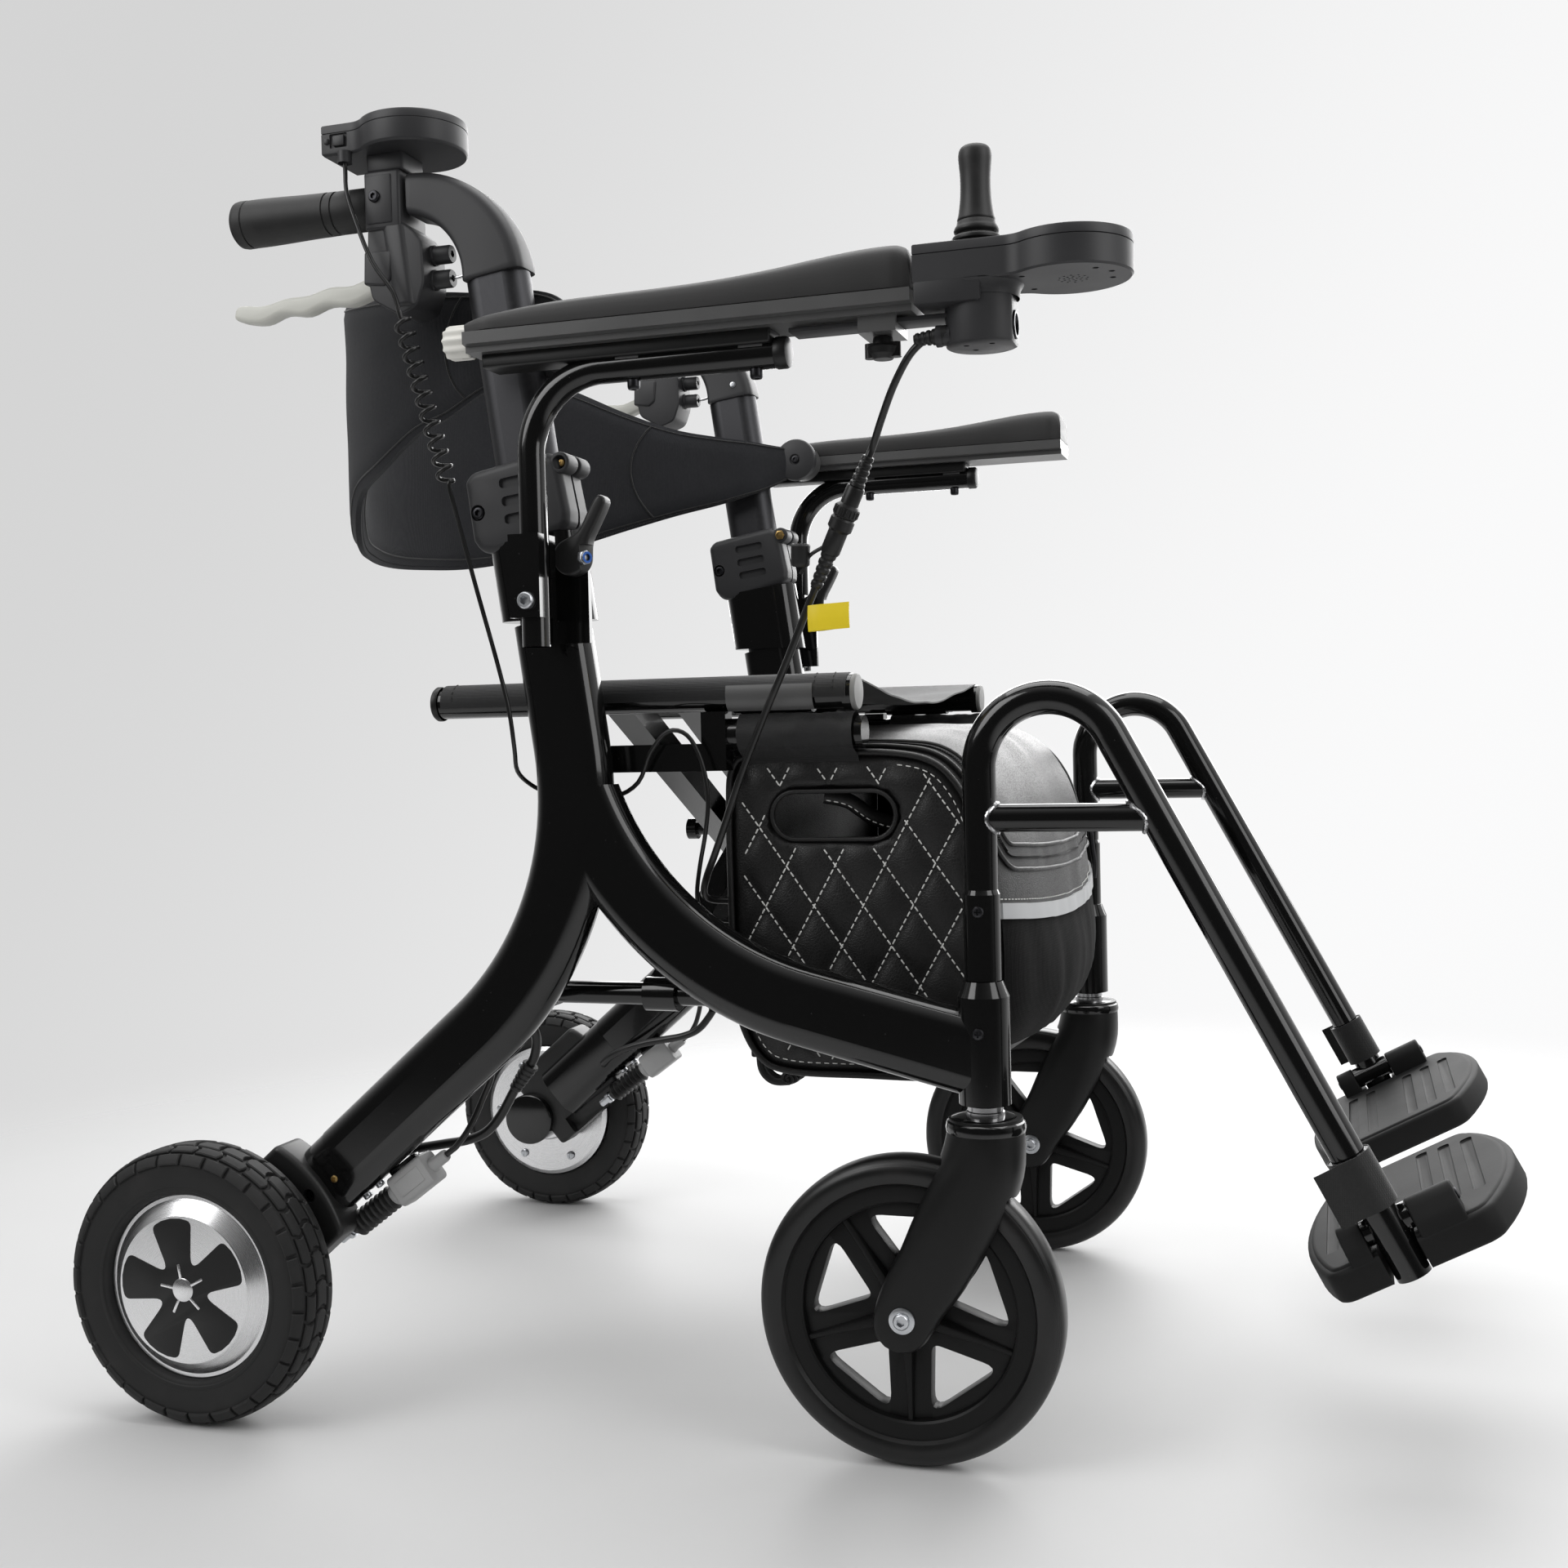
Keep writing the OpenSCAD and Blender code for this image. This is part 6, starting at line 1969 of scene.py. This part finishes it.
def brake_block():
    """The grey switch block with its collar and its cord's gland."""
    shape = lathe([(0, 40), (7, 40), (7.8, 40.6), (8.2, 42), (8.2, 45.6), (7.4, 46.6), (0, 46.6)], 40)
    corner = [(-12, -11), (12, -11), (12, 11), (-12, 11)]
    shape.add(soften(plate(rounded(corner, 5, 5), 46.2, 79.6), 1.6, 40, 3))
    shape.add(soften(box((-6, -11.8, 51), (6, -9, 75)), 1.0, 40, 2))
    return shape.add(lathe([(0, 79), (5.4, 79), (5.4, 82), (4.6, 83), (4.6, 92), (4, 94), (0, 94)], 32))


pair("wheel_cover", wheel_cover(), DARK_PLASTIC, "frame", 40, "wheel_mount")
pair("leg_insert", leg_insert(), PAINT, "frame", 40, "wheel_mount")
fasten("cover_screws", [(socket_screw(8, 2.6), (72, -FRAME_Y - 17.5, 158), OUT)], BLACK_SCREW, "frame")
fasten("insert_screws", [(cross_screw(5.4, 1.8), on_leg(113, -6, -16.3), OUT)], BRASS, "frame")
pair("brake_bellows", bellows().moved(brake_turn), BOOT, "frame", 60, "brake_unit")
pair("brake_switch", brake_block().moved(brake_turn), GREY_PLASTIC, "frame", 40, "brake_unit")
stub = lathe([(0, -18), (3, -18), (4, -17), (4, -9), (5.6, -8.6), (5.6, -5), (4, -4.6), (4, -2), (0, -2)], 28)
pair("brake_stub", stub.moved(brake_turn), ZINC, "frame", 40, "brake_unit")
lug = soften(box((-15.5, -6, 50), (-9, 4, 74)), 1, 40, 2)
pair("brake_lug", lug.moved(brake_turn), PAINT, "frame", 40, "brake_unit")
under = Vector((math.sin(LEG_SLOPE), 0, -math.cos(LEG_SLOPE)))
fasten(
    "lug_bolts", [(socket_screw(7, 3), on_leg(along, -26.6, 6), under) for along in (112, 126)], ZINC, "frame"
)
BRAKE_LEAD = [
    brake_turn @ Vector((0, 0, 92)), brake_turn @ Vector((0, 0, 99)), (175, -239, 192), (182, -236, 202),
    (187, -232, 213), (191, -228.6, 224), (197, -227.8, 237), (200, -228.8, 247), (202, -233.5, 256)
]
lead_pair("brake_lead", BRAKE_LEAD, 6, 4.6)

# Clamps of the push handles

POST_RAKE = math.radians(8)
EAR_X, EAR_Z = 31.4, 103.6
REAR_SCREW = (-34.6, 81.7)
clamp_turn = Matrix.Translation((266, -FRAME_Y, 565)) @ Matrix.Rotation(-POST_RAKE, 4, "Y")
post_hole = loft([[(u, v, w) for u, v in oval(45.6, 29.4)] for w in (-20, 140)])


def post_clamp():
    """A moulded clamp with three finger slots on each face and a bolted ear at the front."""
    body = rounded([
        (-42.3, 64), (-41.8, 105), (-36, 110.4), (0, 112.4), (22, 112.8), (30.5, 108), (32.5, 70), (31, 62),
        (26, 58), (-24, 52), (-37, 54)
    ], [8, 6, 14, 30, 8, 8, 20, 6, 6, 10, 12], 6)
    shape = soften(slab(body, -18.8, 18.8), 5.5, 40, 5)
    counterbore = lathe([(0, 0), (5, 0), (5.6, 1), (5.6, 20), (0, 20)], 32)
    tools = [post_hole, soften(box((22, -1.5, 60), (60, 1.5, 125)), 0.5, 40, 1)]
    for face in (-1, 1):
        for w in (98, 85.4, 73):
            slot = rounded([(-15.2, w - 3.4), (12, w - 3.4), (12, w + 3.4), (-15.2, w + 3.4)], 3.3, 5)
            tools.append(slab(slot, *sorted((face * 16.2, face * 40))))
        tools.append(counterbore.moved(aim((REAR_SCREW[0], face * 15.2, REAR_SCREW[1]), (0, face, 0))))
    shape = cut(shape, *tools)
    ear_turn = aim((EAR_X, 0, EAR_Z), (0, 1, 0))
    bolt_well = lathe([(0, -27.6), (4.8, -27.6), (4.8, -13.6), (0, -13.6)], 32).moved(ear_turn)
    for low, high in ((-18.6, -2), (2, 18.6)):
        ear = soften(lathe([(0, low), (7.2, low), (7.2, high), (0, high)], 40), 1.2, 40, 3)
        shape.add(cut(ear.moved(ear_turn), post_hole, bolt_well))
    return shape.moved(clamp_turn)


def post_sleeve():
    """The wide sleeve on the post, its foot cut level, with two notches at the back."""
    shape = loft([[(u - 1.3, v, w) for u, v in oval(69, 37.6)] for w in (-8, 58)])
    level = box((-80, -40, -60), (80, 40, 0.4)).moved(Matrix.Rotation(POST_RAKE, 4, "Y"))
    notches = [soften(box((-50, -30, w - 3), (-33, 30, w + 3)), 0.6, 40, 1) for w in (10.5, 34.5)]
    return cut(shape, post_hole, level, *notches).moved(clamp_turn)


pair("clamp_body", post_clamp(), PLASTIC, "frame", 40, "post_clamp")
pair("post_sleeve", post_sleeve(), PAINT, "frame", 40, "post_clamp")
clamp_out = clamp_turn.to_3x3() @ Vector(OUT)
fasten("clamp_screws", [
    (socket_screw(9, 3), clamp_turn @ Vector((REAR_SCREW[0], way * 15.4, REAR_SCREW[1])), clamp_out * -way)
    for way in (-1, 1)
], BLACK_SCREW, "frame")
fasten("ear_bolts", [
    (cross_screw(5.4, 1.6), clamp_turn @ Vector((EAR_X, -13.8, EAR_Z)), clamp_out),
    (lock_nut(8, 3.6), clamp_turn @ Vector((EAR_X, 18.4, EAR_Z)), clamp_out * -1)
], BRASS, "frame")

# Armrest fittings

ARM_POST_X = 279.0
fasten("bracket_bolts", [(socket_screw(11.6, 5), (ARM_POST_X, -314, 575), OUT)], ZINC, "frame")
lip = lathe([(0, 545), (8.4, 545), (9.2, 545.6), (9.4, 547), (9.4, 549.4), (8.8, 550.2), (0, 550.2)], 40)
pair("arm_foot", lip.at(ARM_POST_X, -ARM_Y, 0), BLACK_SCREW, "arm")
lobes = [around(10.7 + 0.9 * math.cos(10 * a), a) for a in (math.tau * k / 120 for k in range(120))]
cap = moulded_box(lobes, [(0, 0.6), (0.8, 0), (15, 0), (17.6, 0.9), (18.6, 2.6), (18.6, 5)])
pair("arm_cap", cap.moved(aim((238, -ARM_Y, 750), (-1, 0, 0))), WHITE_PLASTIC, "arm")
arm_screw = socket_screw(8.4, 6)
fasten("arm_screws", [(arm_screw, (x, -ARM_Y, 715), (0, 0, -1)) for x in (353, 437)], BLACK_SCREW, "arm")
tray = soften(box((250, -12.5, 729), (450, 12.5, 739)), 2, 40, 3)
pair("arm_tray", tray.at(0, -ARM_Y, 0), DARK_PLASTIC, "arm")
tip = lathe([(9.8, -7), (10.2, -6.4), (10.2, -0.6), (9.4, 1), (7, 1.9), (0, 2.2)], 40)
pair("arm_tip", tip.moved(aim((457.8, -ARM_Y, 724), (1, 0, 0))), DARK_PLASTIC, "arm")

# Leg rest cuffs and welds

LEG_R = 11.0
CUFF_TURNS = 1.05
CUFF_LOW, CUFF_HIGH = 45.6, 80.4
CROSSBAR_Z, CROSSBAR_R = 426.0, 9.5


def cuff():
    """Hook tape wound round the lower tube, its end lapped over and standing off as a tab."""
    ahead, near = Vector((math.cos(LEG_TILT), 0, math.sin(LEG_TILT))), Vector(OUT)
    last = math.pi * 0.55
    first = last - math.tau * CUFF_TURNS
    line = []
    for k in range(49):
        a = first + (last - first) * k / 48
        out = ahead * math.cos(a) + near * math.sin(a)
        line.append((out * (LEG_R + 2.55 + 1.3 * step(k, 41, 45)), out))
    along = near * math.cos(last) - ahead * math.sin(last)
    for k in range(1, 10):
        s = 2.2 * k
        line.append((line[48][0] + along * s + out * (0.035 * s * s - 0.0011 * s**3), out))
    corners = ((0, CUFF_LOW), (0.5, CUFF_LOW), (0.5, CUFF_HIGH), (0, CUFF_HIGH))
    return loft([[LEG_END + UP_TUBE * h + place + out * t for t, h in corners] for place, out in line])


for side, made in pair("leg_cuff", cuff(), HOOK_TAPE, "leg", 40).items():
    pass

tube_screw = cross_screw(7.6, 2.6)
fasten("head_screws", [(tube_screw, (CASTOR_X - 0.4, -FRAME_Y - 16.8, 288.6), OUT)], BLACK_SCREW, "frame")
fasten("socket_screws", [(tube_screw, (CASTOR_X, -FRAME_Y - 12, 366.5), OUT)], BLACK_SCREW, "leg")


def welds():
    """Rippled beads where the crossbar meets the upright and the slope of the leg rest."""
    shape = Shape()
    slope_x = LEG_END.x - (CROSSBAR_Z - LEG_END.z) * math.tan(LEG_TILT)
    for slope, x0, way in ((0, CASTOR_X, 1), (LEG_TILT, slope_x, -1)):
        line = []
        for k in range(65):
            y, z = around(CROSSBAR_R, math.tau * k / 64)
            reach = math.sqrt(LEG_R**2 - y * y) / math.cos(slope) + 0.4 + 0.35 * (k % 2)
            x = x0 - z * math.tan(slope) + way * reach
            line.append(Vector((x, y - FRAME_Y, CROSSBAR_Z + z)))
        shape.add(tube(line, 1.5, 8))
    return shape


pair("leg_welds", welds(), STEEL, "leg")


# Camera, floor and light

eye = spot(786.4246, -1366.3230, 484.0046)
YAW, PITCH, ROLL = 0.30693742, -0.02897343, -0.02380365
SENSOR, FOCAL_PIXELS, PHOTO_PIXELS = 36, 2150, 1920
ahead = Vector((-math.sin(YAW) * math.cos(PITCH), math.cos(YAW) * math.cos(PITCH), math.sin(PITCH)))
level = Vector((math.cos(YAW), math.sin(YAW), 0))
above = level.cross(ahead)
right = level * math.cos(ROLL) + above * math.sin(ROLL)
up = above * math.cos(ROLL) - level * math.sin(ROLL)

camera = bpy.data.objects.new("camera", bpy.data.cameras.new("camera"))
camera.data.sensor_width = SENSOR
camera.data.lens = SENSOR * FOCAL_PIXELS / PHOTO_PIXELS
camera.matrix_world = Matrix.Translation(eye) @ Matrix((right, up, -ahead)).transposed().to_4x4()
scene.collection.objects.link(camera)
scene.camera = camera
scene.view_settings.view_transform = "Standard"

world = bpy.data.worlds.new("studio")
world.use_nodes = True
scene.world = world
sky = Tree(world.node_tree)
paths = sky.node("ShaderNodeLightPath").socket.node.outputs
seen, mirrored = Value(sky, paths["Is Camera Ray"]), Value(sky, paths["Is Glossy Ray"])
away = sky.node("ShaderNodeTexCoord", out="Generated")


def toward(direction, low, high):
    """How far a ray of the sky points toward a direction."""
    along = sky.node("ShaderNodeVectorMath", {"operation": "DOT_PRODUCT"}, {0: away, 1: direction}, "Value")
    return sky.between(along, low, high)


backdrop = sky.tint(toward(level * 0.9 - above * 0.42, -0.5, 0.36), grey(0.66), grey(0.96, cool=0.003))
studio = sky.tint(toward(Vector((0.1, 0.7, 0.7)), -0.35, 0.9), grey(0.05), grey(0.9))
ambient = sky.tint(mirrored, grey(0.42), studio)
world.node_tree.links.new(
    sky.tint(seen, ambient, backdrop).socket, world.node_tree.nodes["Background"].inputs["Color"]
)

NEAR, FAR = -2600, 3400
floor_corners = ((NEAR, NEAR), (FAR, NEAR), (FAR, FAR), (NEAR, FAR))
floor_mesh = bpy.data.meshes.new("floor")
floor_mesh.from_pydata([spot(x, y, 0) for x, y in floor_corners], [], [(0, 1, 2, 3)])
paper = Finish("studio_floor", roughness=0.6)
offset = paper.node("ShaderNodeVectorMath", {"operation": "SUBTRACT"}, {0: paper.place(), 1: spot(420, 0, 0)})
distance = paper.node("ShaderNodeVectorMath", {"operation": "LENGTH"}, {0: offset}, "Value")
floor_mesh.materials.append(paper.feed(
    base_color=paper.tint(paper.noise(300, 3), grey(0.6), grey(0.63)),
    alpha=1 - paper.between(distance, 0.75, 1.7),
    normal=paper.bump(paper.noise(8, 3), 0.05, 0.2),
))
floor = bpy.data.objects.new("floor", floor_mesh)
scene.collection.objects.link(floor)


def softbox(name, place, target, width, height, power):
    """An area lamp that the camera does not see."""
    data = bpy.data.lights.new(name, "AREA")
    data.shape = "RECTANGLE"
    data.size, data.size_y, data.energy = width, height, power
    lamp = bpy.data.objects.new(name, data)
    lamp.location = spot(*place)
    lamp.rotation_euler = (spot(*target) - lamp.location).to_track_quat("-Z", "Y").to_euler()
    lamp.visible_camera = False
    scene.collection.objects.link(lamp)


softbox("overhead", (350, 100, 2300), (350, 0, 400), 2.2, 1.6, 26)
softbox("back", (600, 1900, 1300), (450, 0, 450), 2.8, 1.4, 55)
softbox("key", (-900, -1500, 1700), (350, -100, 400), 1.2, 1.4, 18)
softbox("fill", (1900, -700, 1200), (450, 0, 450), 0.8, 1.4, 8)
